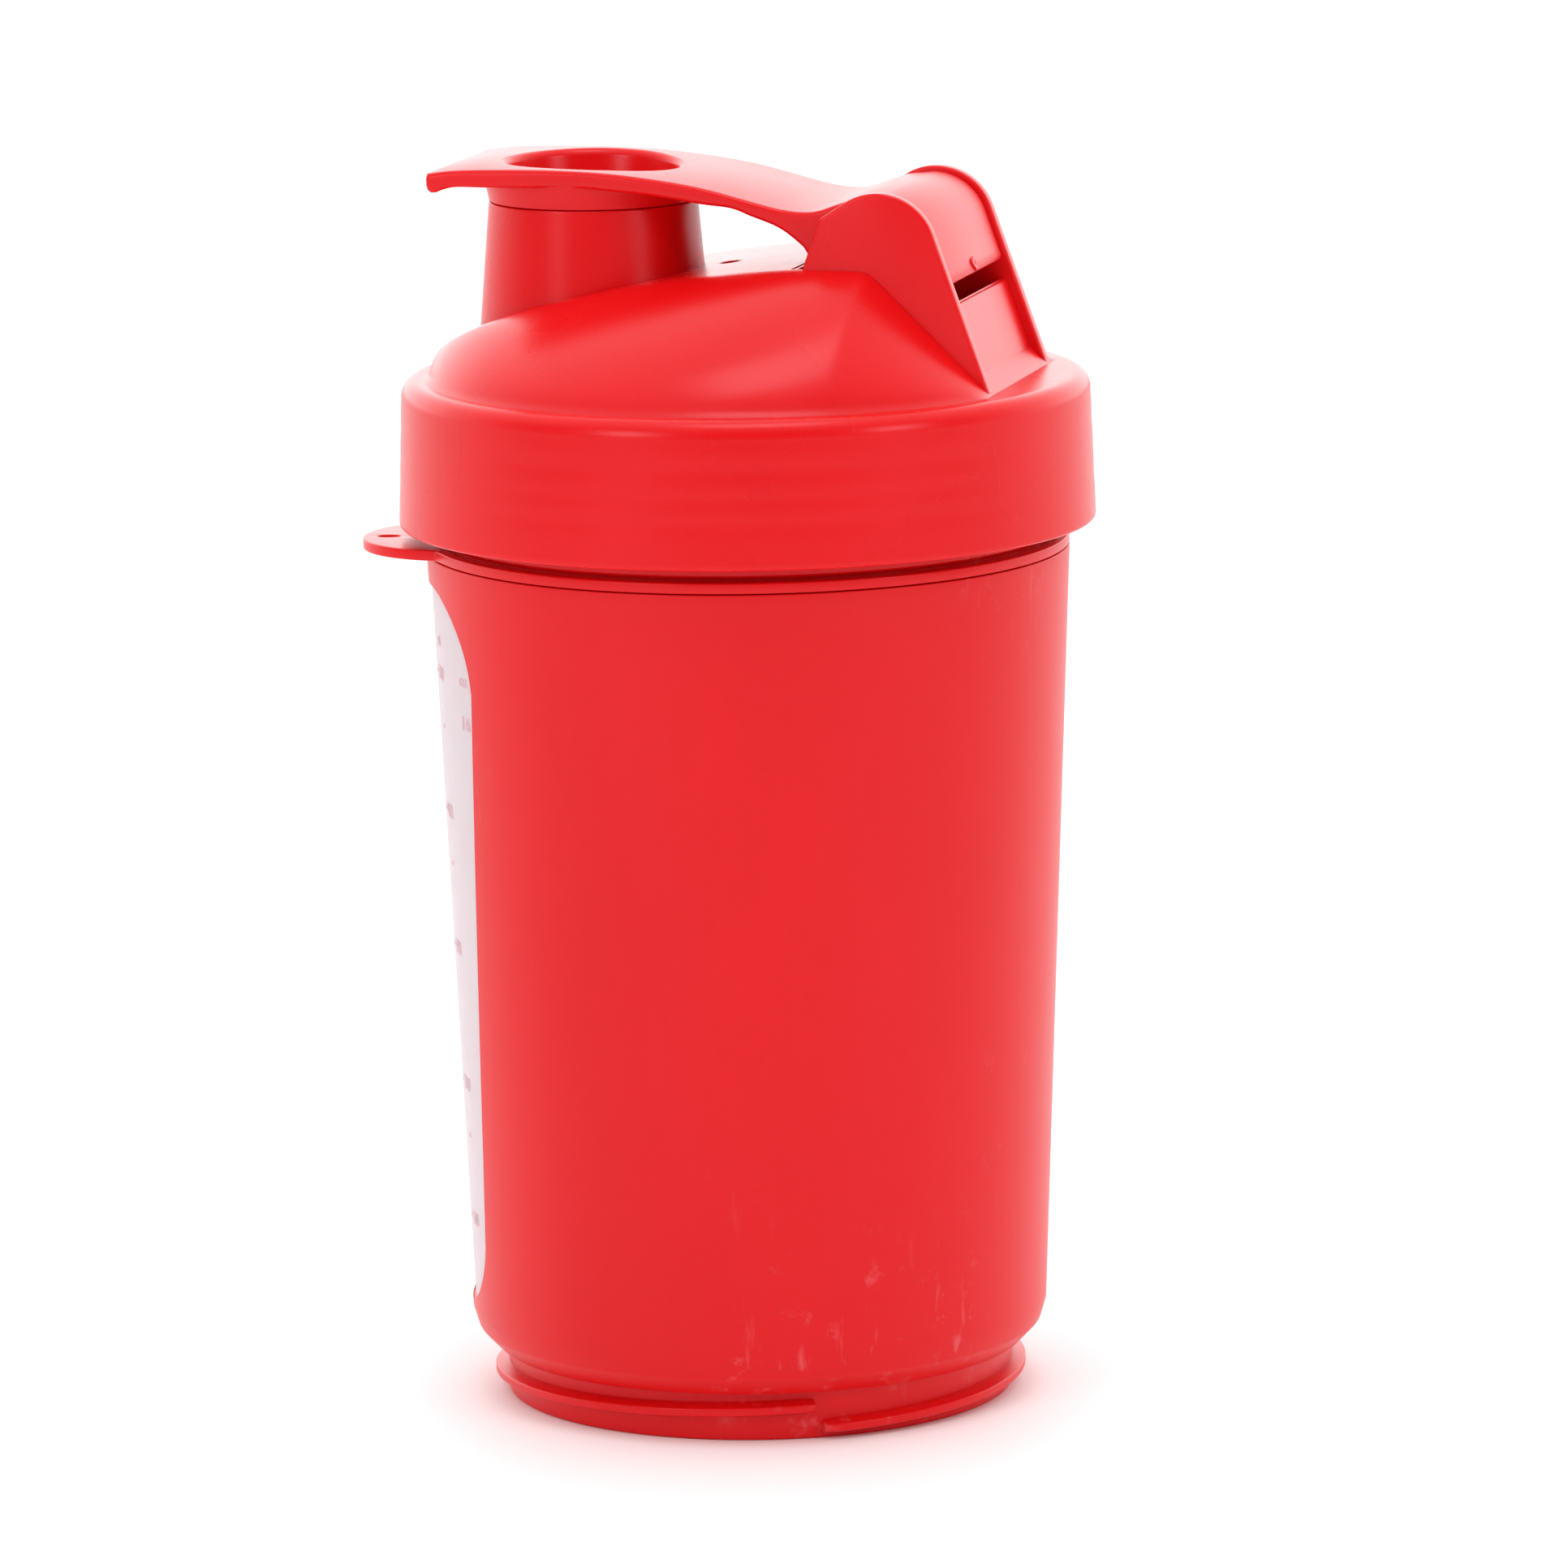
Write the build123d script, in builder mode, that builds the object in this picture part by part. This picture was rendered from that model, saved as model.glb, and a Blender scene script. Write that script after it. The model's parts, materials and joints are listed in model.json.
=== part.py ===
from build123d import *
import os
from math import acos, atan, atan2, cos, hypot, pi, sin, sqrt

# A 600 ml protein shaker: a clear cup inside a red outer cup with a window, a strainer, a carry ring that
# swivels in the neck groove, a sealing ring, a screw lid with a spout, and a flip cap hinged on the lid.
# Millimetres. The origin is the centre of the foot's bottom plane, +Z is up, and the spout is towards -X.

# ---- Cup -------------------------------------------------------------------------------------------------
foot_height = 7.0
foot_radius = 36.0
foot_bore_radius = 33.8
floor_underside = 6.0
floor_top = 7.2
floor_corner = 34.8             # inside radius of the flat floor
shoulder_rise = 2.4             # the inside slopes up this far, out to the shoulder
shoulder_inside = 38.2
shoulder_radius = 37.6          # where the shoulder's bevel meets the foot
bevel_radius = 40.2             # where the bevel meets the wall's rounded lower end
bevel_top = 9.75
wall_start = 12.2               # the tapered wall begins here
cup_radius_at_zero = 40.44      # the tapered wall carried down to the origin
cup_taper = 0.0404              # growth of the radius per millimetre of height
shell_wall = 1.0
skin_gap = 0.05                 # between the outer cup and the clear cup
liner_wall = 1.15
liner_floor = 1.5
liner_corner_rise = 0.8         # thickening at the clear cup's lower corner

# ---- Neck ------------------------------------------------------------------------------------------------
groove_bottom = 121.0
groove_top = 122.9
groove_radius = 43.4
neck_radius = 44.2
neck_bore_radius = 42.9
neck_top = 141.7
neck_taper_start = 115.5        # the inside narrows from here up to the groove
neck_taper_end = 119.5
neck_bevel = 0.6                # above the groove
mouth_radius = 41.7

# ---- Threads (right-hand) --------------------------------------------------------------------------------
foot_lead = 6.3
foot_starts = 2
foot_turn = 178.0
foot_thread_depth = 1.8
foot_thread_low = 1.65
foot_thread_azimuth = 299.0     # where one of the foot's ridges begins
neck_lead = 12.0
neck_starts = 3
neck_turn = 140.0
neck_thread_depth = 1.8
neck_thread_low = 128.2
lid_turn = 100.0
lid_thread_depth = 2.0
ridge_base = 2.2
ridge_crest = 1.1
lid_ridge_azimuth = 10.0        # where one of the lid's ridges begins
lid_ridge_base = 1.9
lid_ridge_crest = 0.9
ridge_root = 0.4                # how far a ridge is sunk into its wall

# ---- Window and carry ring -------------------------------------------------------------------------------
window_azimuth = 196.0          # the spout faces 180
window_top = 117.0
window_bottom = 13.4
window_top_half = 22.6
window_bottom_half = 13.4
window_top_corner = 10.0
window_bottom_corner = 12.0
window_cut = 3.0                # the window is cut from this far inside the wall's surface to outside
window_sill = 0.45              # the clear cup stands this far below the outer cup's surface
pad_root = 0.5                  # how far the clear cup's raised pad is sunk into it
ring_thickness = 1.5
ring_gap = 0.15
ring_clearance = 0.3
ring_radius = 45.3
tab_azimuth = 193.0
tab_centre = 40.2              # distance of the round tab's middle from the bottle's axis
tab_radius = 14.2
eyelet_centre = 50.7            # a small oval eyelet near the tab's outer end
eyelet_half_length = 1.6
eyelet_half_width = 1.1

# ---- Lid -------------------------------------------------------------------------------------------------
skirt_bottom = 124.8
skirt_bottom_radius = 49.1
skirt_top_radius = 48.4
skirt_bore_radius = 46.7
lid_ledge = 145.4
plate_thickness = 2.0
skirt_rounding = 2.2
plate_hole_radius = 36.0
lip_bore_radius = 39.2
lip_radius = 40.3
lip_depth = 5.4
dome_radius = 44.6
dome_wall = 2.0
dome_sink = 0.2                 # the dome's inside is cut this far below the ledge
dome_nose_gaps = (0.0025, 0.02, 0.055, 0.12, 0.22, 0.36)   # sections near the front, as shares of the radius
dome_stations = [-20, -10, 0, 9, 16, 19.5, 22.5, 26, 31, 36]
dome_tail_gap = 1.2             # the last section stands this far inside the dome's circle
side_steps = 8                  # points down each side of a section
side_spread = 1.25              # powers that shape the rounded sides
side_fall = 1.5
deck_height = 17.1              # above the ledge
deck_crown_x = 16.0             # the deck is level behind this
deck_spread = 1.6               # powers that shape the deck's climb from the front
deck_fall = 1.75
slant_foot_x = 39.9             # where the slanted back meets the ledge
slant_slope = 0.982
slant_blend = 1.2               # softens the deck's corner with the slanted back
inner_slant_share = 1.4         # the dome's inside follows the slant this much of a wall away
inner_deck_share = 0.6
deck_chord_share = 0.97         # the flat deck never fills more of a section than this
deck_nose_floor = 0.002         # keeps the deck's rounded front end open at its tip
deck_least_height = 0.4         # above the ledge
deck_half_width = 17.85
seal_gap = 0.05
seal_inner_radius = 41.2
seal_outer_radius = 44.9

# ---- Spout -----------------------------------------------------------------------------------------------
spout_x = -21.8
spout_rim = 169.6
spout_rim_radius = 14.75
spout_taper = 0.075
spout_bore_radius = 13.15

# ---- Hinge and ears --------------------------------------------------------------------------------------
hinge_x = 23.9
hinge_z = 164.8
ear_radius = 8.4
ear_thickness = 2.2
ear_front_foot = (13.1, 162.3)
ear_front_corner = (15.8, 169.6)
ear_back_foot = (39.8, 145.2)
trough_radius = 12.0
trough_wall = 1.8
back_panel_top = 157.4
back_panel_wall = 2.0
back_panel_recess = 1.4         # inside the ears' back edge
trough_exit_x = 33.0
pin_radius = 2.45
pin_clearance = 0.05
pin_engagement = 1.3
socket_depth = 1.5

# ---- Flip cap --------------------------------------------------------------------------------------------
flip_half_width = 15.3
knuckle_radius = 7.8
tail_reach = 7.8                # length of the straight tail behind the knuckle
knuckle_core_radius = 5.4
cheek_wall = 2.6
well_radius = 11.9
well_floor_radius = 11.0
well_floor = 166.4
plug_radius = 12.75
plug_tip_radius = 12.2
plug_bottom = 164.9
collar_top_radius = 15.2
flip_top = 175.3
arm_underside = 172.7
collar_overlap = 0.3            # how far the collar and plug run up into the arm
collar_bottom = 169.7
arm_top = [
    (-41.4, 174.9),
    (-31.0, 175.3),
    (-23.3, 175.35),
    (-15.4, 175.0),
    (-7.6, 174.15),
    (-1.35, 173.2),
    (5.8, 171.3),
    (12.2, 170.1),
    (16.2, 170.6),
]
arm_web = [(18.5, 160.2), (13.3, 163.3), (13.1, 164.5)]
arm_under = [
    (13.1, 164.5),
    (9.2, 167.4),
    (2.3, 170.25),
    (-9.2, 172.0),
    (-20.0, 172.85),
    (-33.0, 172.75),
    (-37.5, 172.8),
]
arm_hook = [(-37.5, 172.8), (-39.6, 172.2), (-39.6, 171.6), (-41.5, 171.6)]

# ---- Strainer and seal -----------------------------------------------------------------------------------
strainer_flange_radius = 42.8
strainer_flange = 0.75
strainer_ring_radius = 41.55
strainer_wall = 0.9
strainer_depth = 7.2
strainer_plate = 1.4
mesh_pitch = 5.4
mesh_hole = 3.9
mesh_count = 15
mesh_margin = 2.5               # plain rim around the mesh
strainer_clearance = 0.1        # between its flange and the top of the neck

liner_rim = neck_top - strainer_flange - strainer_clearance
plate_underside = lid_ledge - plate_thickness


def cup_radius(z):
    """Outer radius of the tapered cup at height z."""
    return cup_radius_at_zero + cup_taper * z


def revolved(outline):
    """A solid of revolution about Z from (radius, height) corners."""
    with BuildPart() as turned:
        with BuildSketch(Plane.XZ):
            with BuildLine():
                Polyline(*outline, close=True)
            make_face()
        revolve(axis=Axis.Z)
    return turned.part


def side_plate(outline, half_width):
    """A plate whose side view is outline; it reaches half_width to each side of the middle plane."""
    with BuildPart() as block:
        with BuildSketch(Plane.XZ.offset(-half_width)):
            add(outline)
        extrude(amount=2 * half_width)
    return block.part


def side_polygon(*corners):
    """A side view outline with straight edges, from (x, z) corners."""
    with BuildSketch() as outline:
        with BuildLine():
            Polyline(*corners, close=True)
        make_face()
    return outline.sketch


def hinge_disc(radius):
    """The side view of a cylinder on the hinge axis."""
    with BuildSketch() as outline:
        with Locations((hinge_x, hinge_z)):
            Circle(radius)
    return outline.sketch


def thread_ridge(wall_radius, depth, lead, turn, low, base, crest):
    """One partial turn of right-hand thread that starts on +X; a negative depth points inwards."""
    buried = -ridge_root if depth > 0 else ridge_root
    with BuildPart() as ridge:
        with BuildLine() as path:
            Helix(lead, lead * turn / 360, wall_radius, center=(0, 0, low))
        start = path.line @ 0
        with BuildSketch(Plane(origin=start, x_dir=(1, 0, 0), z_dir=path.line % 0)):
            with BuildLine():
                Polyline(
                    (buried, -base / 2),
                    (0, -base / 2),
                    (depth, -crest / 2),
                    (depth, crest / 2),
                    (0, base / 2),
                    (buried, base / 2),
                    close=True,
                )
            make_face()
        sweep(path=path.line, is_frenet=True)
    return ridge.part


def deck_line(x, inset):
    """Height of the lid's deck along its middle: it climbs from the front and falls at the slanted back."""
    front = deck_crown_x + dome_radius - inset
    along = min(max((deck_crown_x - x) / front, 0.0), 1.0)
    deck = lid_ledge + (deck_height - inset) * (1 - along**deck_spread) ** (1 / deck_fall)
    slant = lid_ledge + slant_slope * (slant_foot_x - inner_slant_share * inset - x)
    return (deck + slant - sqrt((deck - slant) ** 2 + slant_blend**2)) / 2


def dome_section(x, inset, sink):
    """Section across the dome at x: a flat deck in the middle and a rounded side down to the ledge."""
    base = dome_radius - inset
    half_chord = sqrt(base**2 - x**2)
    nose = deck_half_width - dome_radius
    half_deck = deck_half_width - inset * inner_deck_share
    if x < nose:
        half_deck *= sqrt(max(1 - ((nose - x) / (deck_half_width - inset)) ** 2, deck_nose_floor))
    half_deck = min(half_deck, deck_chord_share * half_chord)
    top = max(deck_line(x, inset), lid_ledge + deck_least_height)
    side = []
    for step in range(side_steps + 1):
        share = sin(step / side_steps * pi / 2)
        height = (1 - share**side_spread) ** (1 / side_fall)
        side.append((half_deck + share * (half_chord - half_deck), lid_ledge + height * (top - lid_ledge)))
    with BuildSketch(Plane(origin=(x, 0, 0), x_dir=(0, 1, 0), z_dir=(1, 0, 0))) as section:
        with BuildLine():
            Line((half_chord, lid_ledge), (half_chord, lid_ledge - sink))
            Line((half_chord, lid_ledge - sink), (-half_chord, lid_ledge - sink))
            Line((-half_chord, lid_ledge - sink), (-half_chord, lid_ledge))
            Spline(*[(-across, up) for across, up in reversed(side)])
            Line((-half_deck, top), (half_deck, top))
            Spline(*side)
        make_face()
    return section.sketch


def dome(inset, sink):
    """The whole dome as a solid, shrunk by inset on every side, its underside sunk below the ledge."""
    base = dome_radius - inset
    stations = [-base * (1 - gap) for gap in dome_nose_gaps]
    stations += dome_stations
    stations += [base - dome_tail_gap]
    with BuildPart() as body:
        loft([dome_section(x, inset, sink) for x in stations], ruled=True)
    return body.part


# ---- Side views shared by the ears, the hinge trough and the flip cap ------------------------------------
# The ears' straight back edge: its outward normal, and where the head meets the line to the front corner.
back_dx = ear_back_foot[0] - hinge_x
back_dz = ear_back_foot[1] - hinge_z
back_angle = atan2(back_dz, back_dx) + acos(ear_radius / hypot(back_dx, back_dz))
back_normal = (cos(back_angle), sin(back_angle))
front_dx = ear_front_corner[0] - hinge_x
front_dz = ear_front_corner[1] - hinge_z
front_angle = atan2(front_dz, front_dx) - acos(ear_radius / hypot(front_dx, front_dz))


def behind_hinge(out, down):
    """A point in the side view, out from the hinge square to the back edge and down along it."""
    return (
        hinge_x + out * back_normal[0] + down * back_normal[1],
        hinge_z + out * back_normal[1] - down * back_normal[0],
    )


def back_drop(out, height):
    """How far down the back edge's direction a point that stands out from the hinge reaches a height."""
    return (hinge_z + out * back_normal[1] - height) / back_normal[0]


def ear_outline(inset, bottom):
    """The ears' side view: a round head with straight edges running down to the front and back feet."""
    radius = ear_radius - inset
    front_touch = (hinge_x + radius * cos(front_angle), hinge_z + radius * sin(front_angle))
    with BuildSketch() as outline:
        with Locations((hinge_x, hinge_z)):
            Circle(radius)
        add(
            side_polygon(
                front_touch,
                (ear_front_corner[0] + inset, ear_front_corner[1] - inset),
                (ear_front_foot[0] + inset, ear_front_foot[1] - inset),
                (ear_front_foot[0] + inset, bottom),
                behind_hinge(radius, back_drop(radius, bottom)),
                behind_hinge(radius, 0),
            )
        )
    return outline.sketch


# ---- Outer cup -------------------------------------------------------------------------------------------
def window_tool(margin, inner, outer):
    """The window's outline, grown by margin, cut through the layer between two offsets of the cup's wall."""
    facing = Plane(
        origin=(0, 0, 0),
        x_dir=Vector(0, 1, 0).rotate(Axis.Z, window_azimuth),
        z_dir=Vector(1, 0, 0).rotate(Axis.Z, window_azimuth),
    )
    with BuildPart() as prism:
        with BuildSketch(facing):
            with BuildLine():
                Polyline(
                    (window_top_half, window_top),
                    (-window_top_half, window_top),
                    (-window_bottom_half, window_bottom),
                    (window_bottom_half, window_bottom),
                    close=True,
                )
            make_face()
            fillet(vertices().sort_by(Axis.Y)[2:], window_top_corner)
            fillet(vertices().sort_by(Axis.Y)[:2], window_bottom_corner)
            offset(amount=margin)
        extrude(amount=neck_radius + window_cut)
        low = window_bottom - window_cut
        high = window_top + window_cut / 3
        add(
            revolved(
                [
                    (cup_radius(low) + inner, low),
                    (cup_radius(low) + outer, low),
                    (cup_radius(high) + outer, high),
                    (cup_radius(high) + inner, high),
                ]
            ),
            mode=Mode.INTERSECT,
        )
    return prism.part


shell_outline = [
    (0, floor_underside),
    (foot_bore_radius, floor_underside),
    (foot_bore_radius, 0),
    (foot_radius, 0),
    (foot_radius, foot_height),
    (shoulder_radius, foot_height),
    (bevel_radius, bevel_top),
    (cup_radius(wall_start), wall_start),
    (cup_radius(groove_bottom), groove_bottom),
    (groove_radius, groove_bottom),
    (groove_radius, groove_top),
    (neck_radius, groove_top + neck_bevel),
    (neck_radius, neck_top),
    (neck_bore_radius, neck_top),
    (neck_bore_radius, neck_taper_end),
    (cup_radius(neck_taper_start) - shell_wall, neck_taper_start),
    (cup_radius(wall_start) - shell_wall, wall_start),
    (shoulder_inside, floor_top + shoulder_rise),
    (floor_corner, floor_top),
    (0, floor_top),
]
foot_ridge = thread_ridge(
    foot_radius, foot_thread_depth, foot_lead, foot_turn, foot_thread_low, ridge_base, ridge_crest
)
neck_ridge = thread_ridge(
    neck_radius, neck_thread_depth, neck_lead, neck_turn, neck_thread_low, ridge_base, ridge_crest
)

with BuildPart() as cup_shell:
    add(revolved(shell_outline))
    with PolarLocations(0, foot_starts, start_angle=foot_thread_azimuth):
        add(foot_ridge)
    with PolarLocations(0, neck_starts):
        add(neck_ridge)
    add(window_tool(0, -window_cut, window_cut), mode=Mode.SUBTRACT)
cup_shell.part.label = "cup_shell"

# ---- Clear cup: it follows the outer cup's inside and stands forward in the window -------------------------
liner_skin = shell_wall + skin_gap
liner_inner = liner_skin + liner_wall
liner_outline = [
    (0, floor_top + skin_gap),
    (floor_corner - skin_gap, floor_top + skin_gap),
    (shoulder_inside - skin_gap, floor_top + shoulder_rise + skin_gap),
    (cup_radius(wall_start) - liner_skin, wall_start),
    (cup_radius(neck_taper_start) - liner_skin, neck_taper_start),
    (neck_bore_radius - skin_gap, neck_taper_end),
    (neck_bore_radius - skin_gap, liner_rim),
    (mouth_radius, liner_rim),
    (mouth_radius, neck_taper_end),
    (cup_radius(neck_taper_start) - liner_inner, neck_taper_start),
    (cup_radius(wall_start) - liner_inner, wall_start),
    (shoulder_inside - liner_wall, floor_top + shoulder_rise + liner_corner_rise),
    (floor_corner - liner_wall, floor_top + liner_floor),
    (0, floor_top + liner_floor),
]
with BuildPart() as cup_liner:
    add(revolved(liner_outline))
    add(window_tool(-skin_gap, -liner_skin - pad_root, -window_sill))
cup_liner.part.label = "cup_liner"

# ---- Carry ring --------------------------------------------------------------------------------------------
ring_plane = Plane(
    origin=(0, 0, groove_bottom + ring_gap),
    x_dir=Vector(1, 0, 0).rotate(Axis.Z, tab_azimuth),
    z_dir=(0, 0, 1),
)
with BuildPart() as carry_ring:
    with BuildSketch(ring_plane):
        Circle(ring_radius)
        with Locations((tab_centre, 0)):
            Circle(tab_radius)
        Circle(groove_radius + ring_clearance, mode=Mode.SUBTRACT)
    extrude(amount=ring_thickness)
    with BuildSketch(ring_plane):
        with Locations((eyelet_centre, 0)):
            Ellipse(eyelet_half_length, eyelet_half_width)
    extrude(amount=ring_thickness, mode=Mode.SUBTRACT)
carry_ring.part.label = "carry_ring"

# ---- Strainer: a basket that hangs on the clear cup's rim --------------------------------------------------
basket_bottom = liner_rim - strainer_depth
with BuildPart() as strainer:
    add(
        revolved(
            [
                (0, basket_bottom),
                (strainer_ring_radius, basket_bottom),
                (strainer_ring_radius, liner_rim + skin_gap),
                (strainer_flange_radius, liner_rim + skin_gap),
                (strainer_flange_radius, liner_rim + skin_gap + strainer_flange),
                (strainer_ring_radius - strainer_wall, liner_rim + skin_gap + strainer_flange),
                (strainer_ring_radius - strainer_wall, basket_bottom + strainer_plate),
                (0, basket_bottom + strainer_plate),
            ]
        )
    )
    with BuildSketch(Plane.XY.offset(basket_bottom)):
        with GridLocations(mesh_pitch, mesh_pitch, mesh_count, mesh_count):
            Rectangle(mesh_hole, mesh_hole)
        Circle(strainer_ring_radius - mesh_margin, mode=Mode.INTERSECT)
    extrude(amount=strainer_plate, mode=Mode.SUBTRACT)
strainer.part.label = "strainer"

# ---- Sealing ring ------------------------------------------------------------------------------------------
with BuildPart() as lid_seal:
    add(
        revolved(
            [
                (seal_inner_radius, neck_top + seal_gap),
                (seal_outer_radius, neck_top + seal_gap),
                (seal_outer_radius, plate_underside - seal_gap),
                (seal_inner_radius, plate_underside - seal_gap),
            ]
        )
    )
lid_seal.part.label = "lid_seal"

# ---- Lid ---------------------------------------------------------------------------------------------------
ear_inner_half = deck_half_width - ear_thickness
dome_outside = dome(0, 1)
ear_block = side_plate(ear_outline(0, lid_ledge - 1), deck_half_width)

with BuildPart() as trough_body:
    add(dome_outside)
    add(ear_block)
    add(side_plate(hinge_disc(trough_radius + trough_wall), deck_half_width), mode=Mode.INTERSECT)

with BuildPart() as hollow:
    add(dome(dome_wall, dome_sink))
    add(side_plate(ear_outline(back_panel_wall + back_panel_recess, lid_ledge), ear_inner_half))
    with BuildSketch(Plane.XY.offset(plate_underside)):
        Circle(plate_hole_radius)
    extrude(amount=plate_thickness + dome_sink)

trough_room = side_plate(hinge_disc(trough_radius), ear_inner_half)
panel_edge = side_polygon(
    (trough_exit_x, back_panel_top),
    (skirt_top_radius, back_panel_top),
    (skirt_top_radius, hinge_z + ear_radius),
    (trough_exit_x, hinge_z + ear_radius),
)
recess_reach = ear_radius + back_panel_wall
panel_face = ear_radius - back_panel_recess
panel_recess = side_polygon(
    behind_hinge(panel_face, 0),
    behind_hinge(recess_reach, 0),
    behind_hinge(recess_reach, back_drop(recess_reach, lid_ledge)),
    behind_hinge(panel_face, back_drop(panel_face, lid_ledge)),
)
sockets = side_plate(hinge_disc(pin_radius + pin_clearance), ear_inner_half + socket_depth)
lid_thread_low = neck_thread_low + neck_lead * (lid_ridge_azimuth / 360 - 0.5 / neck_starts)
lid_ridge = thread_ridge(
    skirt_bore_radius, -lid_thread_depth, neck_lead, lid_turn, lid_thread_low, lid_ridge_base, lid_ridge_crest
)
skirt = revolved(
    [
        (plate_hole_radius, plate_underside),
        (lip_bore_radius, plate_underside),
        (lip_bore_radius, plate_underside - lip_depth),
        (lip_radius, plate_underside - lip_depth),
        (lip_radius, plate_underside),
        (skirt_bore_radius, plate_underside),
        (skirt_bore_radius, skirt_bottom),
        (skirt_bottom_radius, skirt_bottom),
        (skirt_top_radius, lid_ledge),
        (plate_hole_radius, lid_ledge),
    ]
)

with BuildPart() as lid_shell:
    add(skirt)
    top_circles = lid_shell.edges().filter_by(GeomType.CIRCLE).group_by(Axis.Z)[-1]
    fillet(top_circles.sort_by(SortBy.RADIUS)[-1], skirt_rounding)
    add(dome_outside)
    add(ear_block)
    with BuildSketch(Plane.XY.offset(lid_ledge)):
        with Locations((spout_x, 0)):
            Circle(spout_rim_radius + spout_taper * (spout_rim - lid_ledge))
    extrude(amount=spout_rim - lid_ledge, taper=atan(spout_taper) * 180 / pi)
    add(hollow.part, mode=Mode.SUBTRACT)
    add(trough_body.part)
    add(trough_room, mode=Mode.SUBTRACT)
    add(side_plate(panel_edge, ear_inner_half), mode=Mode.SUBTRACT)
    add(side_plate(panel_recess, ear_inner_half), mode=Mode.SUBTRACT)
    add(sockets, mode=Mode.SUBTRACT)
    with BuildSketch(Plane.XY.offset(plate_underside)):
        with Locations((spout_x, 0)):
            Circle(spout_bore_radius)
    extrude(amount=spout_rim - plate_underside, mode=Mode.SUBTRACT)
    with PolarLocations(0, neck_starts, start_angle=lid_ridge_azimuth):
        add(lid_ridge)
lid_shell.part.label = "lid_shell"

# ---- Flip cap ----------------------------------------------------------------------------------------------
with BuildSketch() as arm_outline:
    with BuildLine():
        Spline(*arm_top)
        Line(arm_top[-1], (hinge_x, hinge_z + knuckle_radius))
        Line((hinge_x, hinge_z + knuckle_radius), (hinge_x, hinge_z))
        Line((hinge_x, hinge_z), arm_web[0])
        Polyline(*arm_web)
        Spline(*arm_under)
        Polyline(*arm_hook)
        Line(arm_hook[-1], arm_top[0])
    make_face()
    add(hinge_disc(knuckle_radius))
    add(
        side_polygon(
            behind_hinge(knuckle_radius, 0),
            behind_hinge(knuckle_radius, tail_reach),
            behind_hinge(knuckle_core_radius, tail_reach),
            (hinge_x, hinge_z - knuckle_radius),
            arm_web[0],
            (hinge_x, hinge_z),
        )
    )
with BuildSketch() as core_outline:
    add(hinge_disc(knuckle_core_radius))
    add(
        side_polygon(
            (hinge_x - knuckle_core_radius, hinge_z),
            (hinge_x - knuckle_core_radius - 1, hinge_z - 4),
            (hinge_x - knuckle_core_radius - 1, hinge_z - 12),
            behind_hinge(knuckle_core_radius, 14),
            behind_hinge(knuckle_core_radius, 0),
        )
    )
pins = side_plate(hinge_disc(pin_radius), ear_inner_half + pin_engagement)
core = side_plate(core_outline.sketch, flip_half_width - cheek_wall)

with BuildPart() as flip_cap:
    add(side_plate(arm_outline.sketch, flip_half_width))
    add(pins)
    with BuildSketch(Plane.XY.offset(collar_bottom)):
        with Locations((spout_x, 0)):
            Circle(spout_rim_radius)
    with BuildSketch(Plane.XY.offset(arm_underside + collar_overlap)):
        with Locations((spout_x, 0)):
            Circle(collar_top_radius)
    loft()
    with BuildSketch(Plane.XY.offset(plug_bottom)):
        with Locations((spout_x, 0)):
            Circle(plug_tip_radius)
    with BuildSketch(Plane.XY.offset(arm_underside + collar_overlap)):
        with Locations((spout_x, 0)):
            Circle(plug_radius)
    loft()
    with BuildSketch(Plane.XY.offset(well_floor)):
        with Locations((spout_x, 0)):
            Circle(well_floor_radius)
    with BuildSketch(Plane.XY.offset(flip_top + 1)):
        with Locations((spout_x, 0)):
            Circle(well_radius)
    loft(mode=Mode.SUBTRACT)
    add(core, mode=Mode.SUBTRACT)
flip_cap.part.label = "flip_cap"

pieces = [cup_shell, cup_liner, carry_ring, strainer, lid_seal, lid_shell, flip_cap]
os.makedirs("parts", exist_ok=True)
for piece in pieces:
    export_step(piece.part, f"parts/{piece.part.label}.step")
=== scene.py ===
"""Protein shaker bottle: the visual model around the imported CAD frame.

Lengths are written in millimetres in the row frame, and turned into metres when a mesh or a light is made.
The bottle's axis is Z, the spout is towards -X and the hinge towards +X.
"""

import json
from math import acos, atan2, cos, exp, hypot, pi, radians, sin, sqrt

import bmesh
import bpy
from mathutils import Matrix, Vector


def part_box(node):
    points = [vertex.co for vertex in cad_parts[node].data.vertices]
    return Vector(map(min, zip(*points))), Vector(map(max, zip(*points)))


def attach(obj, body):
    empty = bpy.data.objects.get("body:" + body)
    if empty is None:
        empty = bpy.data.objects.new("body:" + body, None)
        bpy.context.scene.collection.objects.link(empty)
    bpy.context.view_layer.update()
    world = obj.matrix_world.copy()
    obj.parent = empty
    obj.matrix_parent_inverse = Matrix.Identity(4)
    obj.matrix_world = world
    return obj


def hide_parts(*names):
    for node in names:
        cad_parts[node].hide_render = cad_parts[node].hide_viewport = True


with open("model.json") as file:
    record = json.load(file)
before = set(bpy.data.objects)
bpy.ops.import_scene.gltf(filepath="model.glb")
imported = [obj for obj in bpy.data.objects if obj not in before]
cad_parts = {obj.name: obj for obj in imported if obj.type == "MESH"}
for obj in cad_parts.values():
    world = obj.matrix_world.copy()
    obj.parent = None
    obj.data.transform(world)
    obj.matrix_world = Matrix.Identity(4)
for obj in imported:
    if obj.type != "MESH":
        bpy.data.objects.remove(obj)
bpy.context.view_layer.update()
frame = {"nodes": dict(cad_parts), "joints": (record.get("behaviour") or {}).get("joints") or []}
MM = 0.001


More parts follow.
